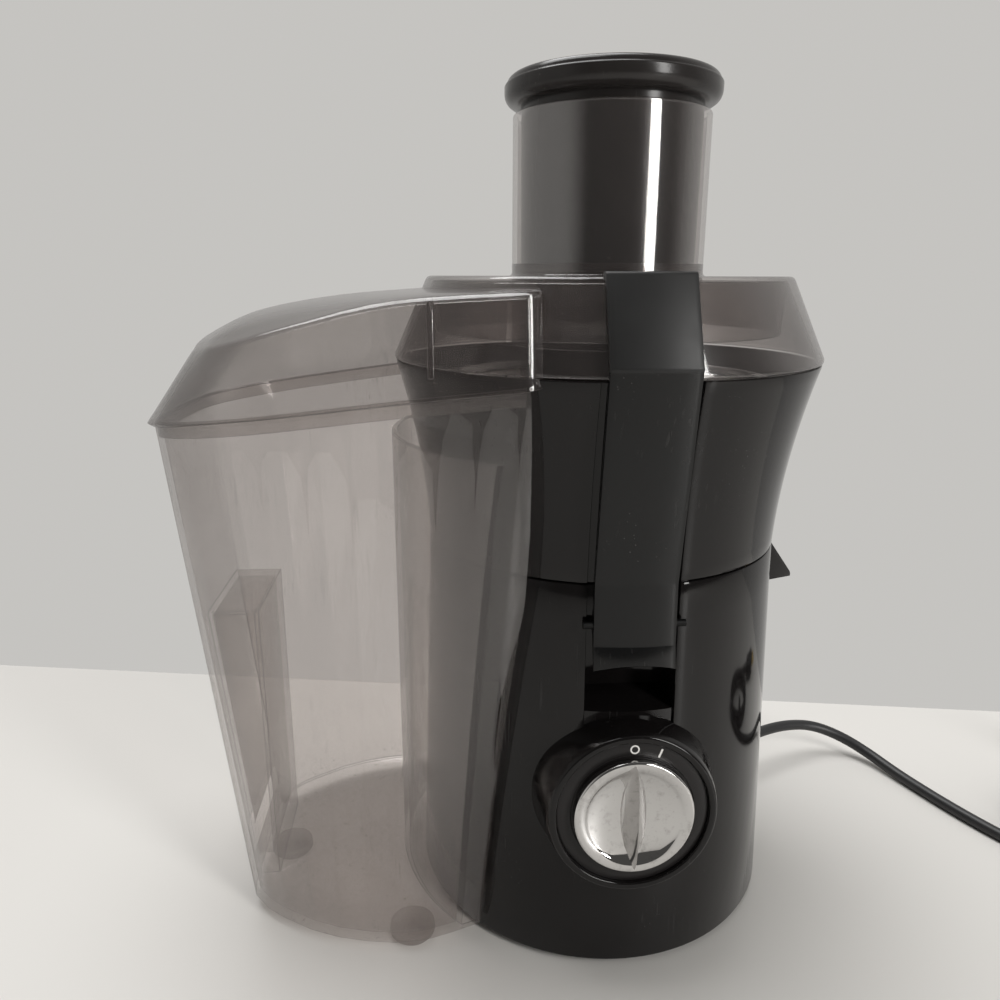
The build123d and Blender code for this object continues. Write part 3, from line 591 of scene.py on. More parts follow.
FINISHES = {
    "glossy_black": glossy_black,
    "satin_black": lambda: satin_black("satin_black_plastic", (0.012, 0.012, 0.013), (0.02, 0.019, 0.019),
                                       0.34),
    # The latch is rougher above 260.5 mm, and painted light makes its top a lighter tone.
    "latch_satin": lambda: satin_black("latch_black_plastic", (0.004, 0.0042, 0.0045), (0.007, 0.007, 0.007),
                                       0.08,
                                       matt_and_painted_light_above=0.2605),
    "dial_satin": lambda: satin_black("dial_black_plastic", (0.010, 0.009, 0.009), (0.016, 0.014, 0.014),
                                      0.30),
    "pusher_black": lambda: satin_black("pusher_black_plastic", (0.016, 0.0145, 0.014),
                                        (0.026, 0.023, 0.022), 0.15),
    "smoke_lid": lambda: smoke("smoke_lid_plastic", 0.160, grazing=0.75),
    "smoke_chute": lambda: smoke("smoke_chute_plastic", 0.08, gloss=0.09),
    "smoke_bin": lambda: smoke("smoke_bin_plastic", 0.086, residue=0.03),
    "smoke_edge": lambda: smoke("smoke_edge_plastic", 0.46, gloss=0.05),
    "clear_pad": lambda: smoke("clear_pad_plastic", 0.16),
    "rubber": lambda: plain("dark_rubber", (0.012, 0.012, 0.012), (0.022, 0.021, 0.02), 0.6),
    "cord_black": lambda: plain("cord_sheath", (0.012, 0.012, 0.013), (0.020, 0.020, 0.021), 0.38, 1500),
    "plug_black": lambda: plain("plug_moulding", (0.013, 0.013, 0.014), (0.022, 0.022, 0.022), 0.33, 1800),
    "white_print": lambda: plain("white_print", (0.78, 0.77, 0.74), (0.86, 0.85, 0.83), 0.45),
    "copper_wire": lambda: plain("enamelled_wire", (0.42, 0.13, 0.035), (0.58, 0.22, 0.07), 0.28, 2200, 0.5,
                                 Metallic=0.8),
    "chrome": chrome,
    "steel": lambda: metal("bare_steel", tuple(bpy.context.scene.juicer_colours.steel), 0.20, (1, 1, 12)),
    "turned_steel": lambda: metal("turned_steel", (0.62, 0.62, 0.62), 0.12, (1, 1, 30)),
    "laminated_steel": lambda: metal("laminated_steel", (0.22, 0.21, 0.20), 0.38, (1, 1, 40), 420, 0.2),
    "zinc": lambda: metal("zinc_plate", (0.52, 0.53, 0.54), 0.28),
    "black_steel": lambda: metal("blackened_steel", (0.022, 0.022, 0.022), 0.4),
    "copper_bar": lambda: metal("copper_bar", (0.78, 0.36, 0.20), 0.24, (1, 1, 10)),
    "brass": lambda: metal("brass_bar", (0.74, 0.55, 0.24), 0.22),
}
MADE = {}


def finish(name):
    """A finish by name, made on its first use."""
    if name not in MADE:
        MADE[name] = FINISHES[name]()
    return MADE[name]


# ---------------------------------------------------------------- base housing and bowl


def base_radius(height):
    """Outside radius of the base's cone."""
    share = (height - BASE_LOW) / (BASE_TOP - BASE_LOW)
    return BASE_FOOT_R + (BASE_RIM_R - BASE_FOOT_R) * share


BOWL_WAIST = 2.6


def bowl_radius(height):
    """Outside radius of the bowl, on the arc through its seam, belly and rim."""
    low, high = BASE_TOP + 0.4, BOWL_TOP
    share = (height - low) / (high - low)
    straight = BASE_RIM_R + (BOWL_RIM_R - BASE_RIM_R) * share
    return straight - 4 * BOWL_WAIST * share * (1 - share)


CHANNEL_FLOOR_STEPS = 9
CHANNEL_LIP = 0.6
SIDE_STEPS = 60


def channel_ring(radius, height, depth):
    """One level of a round wall with an upright channel at the front and at the rear."""
    half = min(sizes()["channel_width"] / 2, 0.23 * radius)
    cut = 1 if depth else 0
    lips = [(half + CHANNEL_LIP, 0), (half + 0.22, 0.10 * cut), (half + 0.05, 0.35 * cut), (half, depth)]
    floor = [-half + 2 * half * k / CHANNEL_FLOOR_STEPS for k in range(1, CHANNEL_FLOOR_STEPS)]
    columns = [(-x, inset) for x, inset in lips] + [(x, depth) for x in floor] + lips[::-1]
    front = [(x, -math.sqrt((radius - inset) ** 2 - x * x)) for x, inset in columns]
    start = math.asin((half + CHANNEL_LIP) / radius)
    angles = [start + (math.pi - 2 * start) * k / SIDE_STEPS for k in range(1, SIDE_STEPS)]
    side = [(radius * math.sin(a), -radius * math.cos(a)) for a in angles]
    half_ring = front + side
    return [(x, y, height) for x, y in half_ring] + [(-x, -y, height) for x, y in half_ring]


def in_channel_floor(column):
    """Whether a column of a channel ring lies in a channel's floor."""
    lip_columns = 4
    half_ring = 2 * lip_columns + CHANNEL_FLOOR_STEPS - 1 + SIDE_STEPS - 1
    return lip_columns - 1 <= column % half_ring < lip_columns - 1 + CHANNEL_FLOOR_STEPS


POCKET_LOW, POCKET_TOP, POCKET_BACK = 121.0, 159.0, 62.0


def latch_pocket(name, side, radius_low, radius_top):
    """Open pocket in the base behind the lower end of a latch."""
    half = sizes()["channel_width"] / 2
    depth = sizes()["channel_depth"]
    xs = [-half + 2 * half * k / CHANNEL_FLOOR_STEPS for k in range(CHANNEL_FLOOR_STEPS + 1)]
    mouth_low = [(x, -math.sqrt((radius_low - depth) ** 2 - x * x), POCKET_LOW) for x in xs]
    mouth_top = [(x, -math.sqrt((radius_top - depth) ** 2 - x * x), POCKET_TOP) for x in xs]
    back_low = [(x, -POCKET_BACK, POCKET_LOW + 3) for x in xs]
    back_top = [(x, -POCKET_BACK, POCKET_TOP) for x in xs]
    data = bmesh.new()
    lines = (mouth_low, back_low, back_top, mouth_top)
    rows = [[data.verts.new(Vector(p) * MM) for p in line] for line in lines]
    for low, high in zip(rows, rows[1:]):
        for k in range(CHANNEL_FLOOR_STEPS):
            data.faces.new((low[k], low[k + 1], high[k + 1], high[k]))
    for k, turn in ((0, 1), (-1, -1)):
        data.faces.new([row[k] for row in rows][::turn])
    bmesh.ops.recalc_face_normals(data, faces=data.faces)
    inner = next(f for f in data.faces if abs(f.calc_center_median().y + POCKET_BACK * MM) < 1e-5)
    if inner.normal.y > 0:
        bmesh.ops.reverse_faces(data, faces=data.faces)
    pocket = piece_of(data, name)
    if side == REAR:
        pocket.data.transform(Matrix.Rotation(math.pi, 4, "Z"))
    return pocket


class JUICER_OT_housing(bpy.types.Operator):
    """Base housing with the latch channels and pockets"""

    bl_idname = "juicer.housing"
    bl_label = "Base Housing"

    def execute(self, context):
        size = sizes()
        depth, wall = size["channel_depth"], size["wall"]
        channel_end = 70.0
        levels = [(BASE_LOW, -0.9, 0), (BASE_LOW + 0.25, -0.3, 0), (BASE_LOW + 1.0, 0, 0),
                  (channel_end, 0, 0),
                  (channel_end + 1.5, 0, depth), (POCKET_LOW, 0, depth), (POCKET_TOP, 0, depth),
                  (BASE_TOP - 0.9, 0, depth), (BASE_TOP - 0.25, -0.2, depth), (BASE_TOP, -0.8, depth)]
        rows = [channel_ring(base_radius(z) + grow, z, cut) for z, grow, cut in levels]
        pocket_level = 5
        shell = skin("housing_wall", rows,
                     leave_out=lambda level, k: level == pocket_level and in_channel_floor(k))
        pockets = [latch_pocket("pocket", side, base_radius(POCKET_LOW), base_radius(POCKET_TOP))
                   for side in (FRONT, REAR)]
        shell = joined("housing", [shell, *pockets])
        data = bmesh.new()
        data.from_mesh(shell.data)
        bmesh.ops.remove_doubles(data, verts=data.verts, dist=0.02 * MM)
        data.to_mesh(shell.data)
        data.free()
        shell = thickened(shell, wall)
        finished(soften(shell, 30), "glossy_black", "base", "black_gloss", "base_shell")
        notch, edge, under, over = 2.8, BASE_RIM_R - wall + 0.3, POCKET_TOP + 0.1, 161.5
        deck = skin("housing_deck", [channel_ring(radius, z, cut) for radius, z, cut in (
            (9, under, 0), (60, under, 0), (edge, under, notch), (edge - 0.1, over - 0.3, notch),
            (edge - 0.4, over, notch), (60, over, 0), (12, over, 0), (11.7, over + 1.3, 0),
            (11.4, over + 1.5, 0),
            (9.2, over + 1.5, 0), (9, over + 1.3, 0))], loop=True, recalculate=True)
        finished(soften(deck), "satin_black", "base", "black_satin")
        return {"FINISHED"}


class JUICER_OT_bowl(bpy.types.Operator):
    """Juice bowl with its latch channels and spout"""

    bl_idname = "juicer.bowl"
    bl_label = "Juice Bowl"

    def execute(self, context):
        size = sizes()
        depth, wall = size["channel_depth"], size["wall"]
        seam, steps = BASE_TOP + 0.55, 18
        skirt = BASE_RIM_R - 3.6
        rows = [channel_ring(BASE_RIM_R - 0.7, seam, depth),
                channel_ring(BASE_RIM_R - 0.15, seam + 0.25, depth)]
        top = BOWL_TOP - 0.9
        for step in range(steps + 1):
            z = seam + 0.9 + (top - seam - 0.9) * step / steps
            rows.append(channel_ring(bowl_radius(z), z, depth))
        rows.append(channel_ring(BOWL_RIM_R - 0.3, BOWL_TOP - 0.2, depth))
        rows.append(channel_ring(BOWL_RIM_R - 0.9, BOWL_TOP, depth))
        shelf = RIM_LOW - 1.3
        inner = [(BOWL_RIM_R - wall - 0.2, BOWL_TOP), (BOWL_RIM_R - wall - 0.8, BOWL_TOP - 1),
                 (bowl_radius(shelf) - wall, shelf), (80.4, shelf), (80, shelf - 0.4), (80, shelf - 2.1),
                 (80.4, shelf - 2.5), (bowl_radius(shelf - 2.5) - wall, shelf - 2.5)]
        for step in range(8):
            z = shelf - 8 - (shelf - 8 - seam - 4) * step / 7
            inner.append((bowl_radius(z) - wall, z))
        floor = 165.0
        inner += [(skirt - wall, seam - 3), (skirt - wall, floor + 3), (skirt - wall - 3, floor), (21, floor),
                  (19.5, floor + 1.5), (19.5, floor + 27), (19, floor + 27.5), (17.5, floor + 27.5),
                  (17, floor + 27),
                  (17, floor - 2.5), (skirt, floor - 2.5), (skirt, seam)]
        rows += [channel_ring(r, z, 0) for r, z in inner]
        bowl = skin("bowl", rows, loop=True)
        finished(soften(bowl, 30), "glossy_black", "bowl", "black_gloss", "juice_bowl")
        self.make_spout(seam)
        return {"FINISHED"}

    def make_spout(self, seam):
        """Hooded spout that points away from the bowl, with an open mouth below."""
        angle, half, tip, mouth = math.radians(20), 14.0, BASE_RIM_R + 32.5, BASE_TOP - 38.5
        back = base_radius(mouth) + 1.0
        side = [(BASE_RIM_R - 3, seam + 3.2), (BASE_RIM_R + 0.8, seam + 2.2), (tip - 0.6, mouth + 3.0),
                (tip, mouth + 1.6),
                (tip, mouth), (back, mouth), (back, BASE_TOP - 6), (BASE_RIM_R - 3, BASE_TOP - 2)]
        data = bmesh.new()
        near = [data.verts.new(Vector((t, -half, z)) * MM) for t, z in side]
        far = [data.verts.new(Vector((t, half, z)) * MM) for t, z in side]
        data.faces.new(near)
        data.faces.new(far[::-1])
        mouth_edge, throat_edge = 4, 7
        for k in range(len(side)):
            if k in (mouth_edge, throat_edge):
                continue
            j = (k + 1) % len(side)
            data.faces.new((near[k], far[k], far[j], near[j]))
        bmesh.ops.recalc_face_normals(data, faces=data.faces)
        highest = max(data.faces, key=lambda f: f.calc_center_median().z)
        if highest.normal.z < 0:
            bmesh.ops.reverse_faces(data, faces=data.faces)
        spout = thickened(piece_of(data, "spout"), 1.5)
        spout = bevelled(spout, 0.35)
        spout.data.transform(Matrix.Rotation(angle, 4, "Z"))
        finished(soften(spout), "glossy_black", "bowl", "black_gloss")


class JUICER_OT_strainer(bpy.types.Operator):
    """Strainer basket: perforated cone, steel rim and cutter teeth"""

    bl_idname = "juicer.strainer"
    bl_label = "Strainer"

    def execute(self, context):
        low, high = STRAINER_LOW, MESH_TOP
        low_r = STRAINER_FLOOR_R
        wall = 0.7
        cone = lathe("strainer_cone",
                     [(low_r + 0.4, low), (low_r + 1.1, low), (MESH_R, high), (MESH_R - wall, high)])
        finished(soften(cone), "steel", "strainer", "stainless_mesh", "strainer_mesh")
        tilt = math.atan((MESH_R - low_r) / (high - low))
        hole = self.hole(tilt, wall)
        count, rows = context.scene.juicer_sizes.perforations, 18
        rings = []
        for row in range(rows):
            share = (row + 1) / (rows + 1)
            z = low + (high - low) * share
            radius = low_r + 0.75 + (MESH_R - wall / 2 - low_r - 0.75) * share
            shift = math.pi / count * (row % 2)
            rings.append(ring_of(f"row_{row}", hole, count, radius, z, "satin_black", shift))
        bpy.data.objects.remove(hole)
        finished(soften(joined("strainer_holes", rings)), "satin_black", "strainer", "stainless_mesh")
        rim = lathe("strainer_collar", rounded([(MESH_R - 2, RIM_LOW, 0.4), (RIM_R, RIM_LOW, 0.6),
                                                (RIM_R, RIM_LOW + 2.5, 0.8), (MESH_R - 1, RIM_LOW + 4, 0.4)],
                                                3))
        finished(soften(rim), "turned_steel", "strainer", "stainless", "strainer_rim")
        self.make_teeth()
        return {"FINISHED"}

    def hole(self, tilt, wall):
        """Small disc through the cone's wall, standing for one punched hole."""
        rows = []
        for x in (-wall / 2 - 0.06, wall / 2 + 0.06):
            ring = [(x, 0.75 * math.cos(a), 0.75 * math.sin(a)) for a in (math.pi * k / 3 for k in range(6))]
            rows.append(ring)
        disc = skin("hole", rows, caps=True, recalculate=True)
        disc.data.transform(Matrix.Rotation(-tilt, 4, "Y"))
        return disc

    def make_teeth(self):
        """Rings of small raised blades on the cutter disc."""
        disc_low = span("cutter_disc")[0]
        plate = disc_low.z + 1.0
        disc = lathe("cutter_plate",
                     rounded([(23.5, disc_low.z, 0.2), (46.4, disc_low.z, 0.2), (46.4, plate, 0.3),
                                              (23.5, plate, 0.3)], 2))
        blade = skin("blade", [[(-0.35, -1.3, 0), (0.35, -1.3, 0), (0.35, 1.3, 0), (-0.35, 1.3, 0)],
                               [(-0.25, -0.2, 2.0), (0.1, -0.2, 2.0), (0.1, 0.9, 2.0), (-0.25, 0.9, 2.0)]],
                     caps=True, recalculate=True)
        rings = [ring_of(f"teeth_{radius}", blade, count, radius, plate - 0.1, "turned_steel", radius)
                 for radius, count in ((27, 22), (31, 26), (35, 30), (39, 34), (43, 38))]
        bpy.data.objects.remove(blade)
        cutter = joined("cutter", [disc, *rings])
        finished(soften(cutter), "turned_steel", "strainer", "stainless", "cutter_disc")


# ---------------------------------------------------------------- clear lid and bin

RIM_X, RIM_Z, RIM_SLOPE = -46.0, 252.0, 0.12
COVER_END_X, COVER_LEAN, END_PULL_FROM, END_PULL = -196.0, 0.90, -150, 20.0
COVER_OUTLINE = [(-38, -84.0), (-44, -87.6), (-60, -84.3), (-91, -77.8), (-126, -74.3), (-148, -70.5),
                 (-165, -64.5), (-179, -56.5), (-189.5, -46.0), (-194.0, -32.0), (-195.5, -15.0), (-196, 0)]
RIDGE = [(-30, 290.6), (-56, 288.6), (-82, 286.7), (-113, 284.4), (-135, 281.3), (-153, 277.3), (-166, 271.6),
         (-176, 266.0)]
NEAR_EDGE = [(-30, 287.4), (-80, 284.4), (-94, 282.8), (-107, 280.4), (-121, 276.8), (-136, 272.8),
             (-150, 268.8),
             (-164, 265.4), (-176, 263.0)]


def rim_height(x):
    """Height of the bin's sloping rim."""
    return RIM_Z + RIM_SLOPE * (x - RIM_X)


def height_on(line, x):
    """Height of a line of (x, z) points at x."""
    points = smooth_line(line)
    for a, b in zip(points, points[1:]):
        if b.x <= x <= a.x:
            return a.y + (b.y - a.y) * (a.x - x) / (a.x - b.x)
    return points[-1].y if x < points[-1].x else points[0].y


def cover_station(x, y):
    """Points of the bin cover from its lower near edge over the top to its lower far edge."""
    low = rim_height(x) + 0.4
    top_x = x + blend_between(0, END_PULL, (END_PULL_FROM - x) / (END_PULL_FROM - COVER_END_X))
    top_y = y * COVER_LEAN
    edge, crest = height_on(NEAR_EDGE, top_x), height_on(RIDGE, top_x)
    wall = []
    for share in (0.0, 0.06, 0.10, 0.30, 0.55, 0.78, 0.90):
        lip = 0.9 if share < 0.08 else 0.0
        wall.append((x + (top_x - x) * share, (y + (top_y - y) * share) * (1 + lip / 90),
                     low + (edge - low) * share))
    corner = [(top_x - (top_x - x) * 0.03, y + (top_y - y) * 0.975, low + (edge - low) * 0.965),
              (top_x, top_y * 0.985, edge - 0.2), (top_x, top_y * 0.955, edge + 0.25)]
    roof = []
    for share in (0.86, 0.7, 0.5, 0.3, 0.12):
        rise = 1 - share ** 2.2
        roof.append((top_x, top_y * share, edge + 0.3 + (crest - edge - 0.3) * rise))
    half = wall + corner + roof
    return half + [(top_x, 0, crest)] + [(px, -py, pz) for px, py, pz in reversed(half)]


class JUICER_OT_lid(bpy.types.Operator):
    """Smoke-clear lid: round lid, feed chute and the cover over the bin"""

    bl_idname = "juicer.lid"
    bl_label = "Clear Lid"

    def execute(self, context):
        size = sizes()
        wall, chute_r = size["wall"], size["chute_radius"]
        top, top_r = size["lid_top"], size["lid_top_radius"]
        low = BOWL_TOP + 0.7
        round_lid = lathe("lid_round", rounded([
            (BOWL_RIM_R + 0.2, low, 0.5), (BOWL_RIM_R + 0.2, low + 1.6, 0.5), (top_r + 0.6, top, 2.6),
            (chute_r + 0.02, top, 1.6), (chute_r + 0.02, top + 5, 0), (chute_r - 1.2, top + 5, 0),
            (chute_r - 1.2, top - wall, 0), (top_r - wall + 0.4, top - wall, 1.6),
            (BOWL_RIM_R - wall, low + 1.6, 0.5), (BOWL_RIM_R - wall, low, 0.5)], 4), 192)
        ring = lathe("lid_ring", rounded([
            (top_r - 4.5, 268, 0.8), (top_r - 2.6, 268, 0.8), (top_r - 2.0, top - 2, 0),
            (top_r - 4.5, top - 2, 0)], 3))
        cover = self.make_cover(wall)
        lid = dark_edged(joined("lid_shell", [round_lid, ring, cover, self.make_skirt()]), 0.45, 34)
        finished(soften(lid, 28), ("smoke_lid", "smoke_edge"), "lid", "smoke_clear", "lid")
        chute = lathe("chute", rounded([
            (chute_r, 262, 0.8), (chute_r, CHUTE_TOP, 0.9), (chute_r - wall, CHUTE_TOP, 0.9),
            (chute_r - wall, 262, 0.8)], 4), 192)
        finished(soften(chute), "smoke_chute", "lid", "smoke_clear")
        return {"FINISHED"}

    def make_skirt(self):
        """Band inside the bin's rim, below the cover's lower edge."""
        outline = smooth_line(COVER_OUTLINE[1:], 4)
        near = [Vector((p.x + (3.4 if p.x < -150 else 0.0) * (-p.x - 150) / 46,
                        p.y * 0.958)) for p in outline]
        line = near + [Vector((p.x, -p.y)) for p in reversed(near[:-1])]
        rows = [[(p.x, p.y, rim_height(p.x) + lift) for p in line] for lift in (-5.6, 0.9)]
        band = skin("skirt", rows, around=False)
        if max(band.data.polygons, key=lambda f: -f.center.y).normal.y > 0:
            band.data.flip_normals()
        return thickened(band, 1.0)

    def make_cover(self, wall):
        """Cover over the bin with a lip at its lower edge, and the two ribs inside it."""
        outline = smooth_line(COVER_OUTLINE, 4)
        stations = [cover_station(p.x, p.y) for p in outline]
        shell = skin("cover", stations, around=False)
        data = bmesh.new()
        data.from_mesh(shell.data)
        bmesh.ops.remove_doubles(data, verts=data.verts, dist=0.05 * MM)
        bmesh.ops.recalc_face_normals(data, faces=data.faces)
        highest = max(data.faces, key=lambda f: f.calc_center_median().z)
        if highest.normal.z < 0:
            bmesh.ops.reverse_faces(data, faces=data.faces)
        data.to_mesh(shell.data)
        data.free()
        shell = thickened(shell, wall)
        ribs = []
        for side in (FRONT, REAR):
            x = -78.0
            y = -80.2 * 0.99
            outer = [(y + 1.0, 256), (y * 0.93, 279.5), (y * 0.90, 284.0)]
            inner = [(y * 0.90 + 14, 285.2), (y * 0.90 + 5, 281), (y + 7.5, 272), (y + 7.0, 256)]
            loop = [(a, b) for a, b in outer + inner]
            rows = [[(x + shift, py * -side, pz) for py, pz in loop] for shift in (-1.1, 1.1)]
            ribs.append(bevelled(skin("rib", rows, caps=True, recalculate=True), 0.4))
        finished(soften(joined("lid_ribs", ribs)), "smoke_edge", "lid", "smoke_clear")
        return shell


class JUICER_OT_bin(bpy.types.Operator):
    """Smoke-clear pulp bin with its pads"""

    bl_idname = "juicer.bin"
    bl_label = "Pulp Bin"

    def execute(self, context):
        box = copy_of("pulp_bin", "bin_shell")
        data = bmesh.new()
        data.from_mesh(box.data)
        flat = [e for e in data.edges if len(e.link_faces) == 2 and e.calc_face_angle(0) < math.radians(0.4)]
        bmesh.ops.dissolve_edges(data, edges=flat, use_verts=False)
        data.to_mesh(box.data)
        data.free()
        box = dark_edged(box, 0.6, 50)
        finished(soften(box, 30), ("smoke_bin", "smoke_edge"), "bin", "smoke_clear", "pulp_bin")
        marks = []
        for x, y in ((-91.5, -61), (-91.5, 61), (-156, 0)):
            marks.append(self.make_pad(x, y))
        pads = joined("bin_pads", marks)
        finished(soften(pads), "clear_pad", "bin", "pad_clear", "bin_feet")
        return {"FINISHED"}

    def make_pad(self, x, y):
        """Round stick-on pad with a domed face and a dished middle."""
        top = 5.3
        outline = rounded([(0, 0.9, 0), (3.5, 0.9, 1), (5.0, 0.05, 1), (8.8, 0.05, 1.6), (10.4, 2.2, 1.5),
                           (10.0, top, 0),
                           (0, top, 0)], 4)
        return lathe("pad", outline, 64, Matrix.Translation((x * MM, y * MM, 0)))


# ---------------------------------------------------------------- pusher and latches


class JUICER_OT_pusher(bpy.types.Operator):
    """Food pusher: tube in the chute and its rounded cap"""

    bl_idname = "juicer.pusher"
    bl_label = "Pusher"

    def execute(self, context):
        wall = sizes()["wall"]
        tube = lathe("pusher_tube", rounded([
            (0, PUSHER_LOW, 0), (PUSHER_R - 1, PUSHER_LOW, 2.5), (PUSHER_R, CAP_LOW + 1.0, 0),
            (PUSHER_R - wall, CAP_LOW + 1.0, 0), (PUSHER_R - wall, PUSHER_LOW + wall, 0),
            (0, PUSHER_LOW + wall, 0)], 4), 160)
        finished(soften(tube), "pusher_black", "pusher", "pusher_black", "pusher_body")
        middle = (CAP_LOW + CAP_TOP) / 2
        cap = lathe("pusher_lid", rounded([
            (0, CAP_LOW + 2.0, 0), (PUSHER_R - 3, CAP_LOW + 2.0, 0), (PUSHER_R - 2, CAP_LOW + 0.1, 0.8),
            (PUSHER_R + 1.5, CAP_LOW + 0.1, 0.8), (CAP_R - 0.2, CAP_LOW + 1.2, 4.8),
            (CAP_R - 0.1, middle + 1.6, 1.2),
            (CAP_R - 0.9, middle + 1.75, 0.25), (CAP_R - 1.1, middle + 2.3, 0.3),
            (CAP_R - 2.0, CAP_TOP - 2.6, 3.2),
            (CAP_R - 9, CAP_TOP - 1.6, 3), (CAP_R - 13, CAP_TOP - 1.1, 3), (CAP_R - 26, CAP_TOP - 0.5, 4),
            (0, CAP_TOP, 0)],
            5), 192)
        finished(soften(cap, 40), "pusher_black", "pusher", "black_gloss", "pusher_cap")
        return {"FINISHED"}


def make_latch(name, side):
    """Over-lid latch, curved like the shells below it, with an arched lower edge."""
    kink, seam, thick = BASE_RIM_R + 0.7, BASE_TOP + 1.5, 3.0
    bend_r, bend_z = BOWL_RIM_R + 1.1, BOWL_TOP + 3.9
    hook_r, hook_z = 80.0, LATCH_TOP - 2.6
    outline = rounded([
        (hook_r + 1.0, hook_z - 0.6, 0.6), (hook_r, hook_z + 0.2, 0.4), (hook_r - 0.1, LATCH_TOP - 0.2, 0.9),
        (hook_r + 4.0, LATCH_TOP, 1.8), (bend_r + 2.7, bend_z + 1.0, 2.0), (kink + thick, seam, 5.0),
        (kink + thick + 1.2, 152, 8.0), (kink + 6.4, LATCH_LOW + 0.4, 0.7), (kink + 4.6, LATCH_LOW, 0.6),
        (kink + 0.9, 155, 2.0), (79.5, 157, 1.0), (79, 162, 1.0), (kink, 165, 2.0), (kink, seam, 3.0),
        (bend_r, bend_z, 1.2), (hook_r + 3.2, hook_z - 1.0, 0.6)], 4)
    columns = 14
    rows = []
    for step in range(columns + 1):
        x = -LATCH_HALF + 2 * LATCH_HALF * step / columns
        arch = 2.6 * (1 - (x / LATCH_HALF) ** 2)
        row = []
        for radius, z in outline:
            lift = arch * max(0.0, 1 - (z - LATCH_LOW) / 9.0) if z < LATCH_LOW + 9 else 0.0
            row.append((x, -math.sqrt(radius ** 2 - x * x), z + lift))
        rows.append(row)
    latch = skin(name, rows, caps=True, recalculate=True)
    latch = bevelled(latch, 0.45, 2, 60)
    if side == REAR:
        latch.data.transform(Matrix.Rotation(math.pi, 4, "Z"))
    return soften(latch, 30)


class JUICER_OT_latches(bpy.types.Operator):
    """Front and rear latches"""

    bl_idname = "juicer.latches"
    bl_label = "Latches"

    def execute(self, context):
        for node, side in (("front_latch", FRONT), ("rear_latch", REAR)):
            finished(make_latch(node.replace("latch", "clamp"), side), "latch_satin", node, "latch_black",
                     node)
        return {"FINISHED"}


# ---------------------------------------------------------------- dial


def dial_place():
    """Frame of the dial: its front plane on the base, leaning back a little."""
    lean = math.radians(3.2)
    out = Vector((0, -math.cos(lean), math.sin(lean)))
    across = Vector((1, 0, 0))
    place = Matrix((across, out.cross(across), out)).transposed().to_4x4()
    place.translation = Vector((0, -96.0, 83.1)) * MM
    return place


class JUICER_OT_dial(bpy.types.Operator):
    """Dial collar, face and plated knob"""

    bl_idname = "juicer.dial"
    bl_label = "Dial"

    def execute(self, context):
        size = sizes()
        ring, knob_r = size["dial_radius"], size["knob_radius"]
        place = dial_place()
        collar = lathe("dial_ring", rounded([
            (ring - 3.4, -6, 0), (ring - 3.4, -1.4, 0), (ring - 3.0, -0.15, 0.9), (ring - 0.3, -0.15, 1.3),
            (ring + 0.6, -3.0, 2.0), (ring + 5.2, -26, 0), (ring - 3.4, -26, 0)], 5), 160, place)
        finished(soften(collar), "glossy_black", "base", "black_gloss", "dial_collar")
        face = lathe("dial_plate", rounded([(0, -2.4, 0), (knob_r + 0.6, -2.4, 0), (knob_r + 0.9, -2.05, 0.2),
                                            (ring - 3.5, -2.05, 0.2), (ring - 3.5, -3.9, 0), (0, -3.9, 0)],
                                            2), 128, place)
        finished(soften(face), "dial_satin", "base", "dial_black", "dial_face")
        self.make_knob(knob_r, place)
        return {"FINISHED"}

    def make_knob(self, radius, place):
        """Knob with a bright bevelled rim, a dished middle and a leaf-shaped grip across it."""
        rim = radius - 4.6
        dish = [(rim * k / 16, -1.0 + 2.75 * (k / 16) ** 2.6) for k in range(17)]
        body = lathe("knob_body",
                     [*dish, *rounded([(rim + 0.25, 1.95, 0), (radius - 0.7, 2.35, 0.6), (radius, 1.7, 0.5),
                                                  (radius - 0.1, -2.0, 0)], 3), (0, -2.0)], 160)
        rows = []
        steps = 36
        for step in range(steps + 1):
            share = -1 + 2 * step / steps
            if abs(share) == 1:
                rows.append([(0, share * (radius - 1.6), 1.9)])
                continue
            half = 4.8 * (1 - share * share) ** 0.85 + 0.15
            crest = 2.4 + 6.0 * (1 - share ** 4) ** 0.8
            row = []
            for k in range(-8, 9):
                u = k / 8
                row.append((u * half, share * (radius - 1.6), 0.2 + (crest - 0.2) * (1 - abs(u)) ** 1.25))
            row += [(half, share * (radius - 1.6), -1.5), (-half, share * (radius - 1.6), -1.5)]
            rows.append(row)
        grip = skin("knob_grip", rows, recalculate=True)
        knob = joined("knob_plated", [body, grip])
        knob.data.transform(place)
        finished(soften(knob, 38), "chrome", "dial_knob", "chrome_plate", "knob")


# ---------------------------------------------------------------- cord

CORD_EXIT = (99.52, 50.71, 22.0)
CORD_ROUTE = [CORD_EXIT, (119, 60.5, 22), (138, 68, 21), (157, 72.5, 17.5), (174.5, 68, 11.5),
              (187, 56.5, 6.2),
              (195, 39, 3.6), (202.5, 20, 3.2), (210.5, 1, 3.2), (220, -18, 3.2), (231, -35.5, 3.2),
              (243, -50, 3.2)]
COIL_CENTRE = (276.0, -30.0)
COIL_ENTRY = -125.0
PLUG_NECK = (310.0, -7.0, 10.0)
CORD_END = [(305.2, -58.5, 10.9), (310.6, -49.5, 10.6), (313.4, -38.5, 10.3), (313.1, -26.5, 10.1),
            (311.3, -16.5, 10),
            PLUG_NECK]


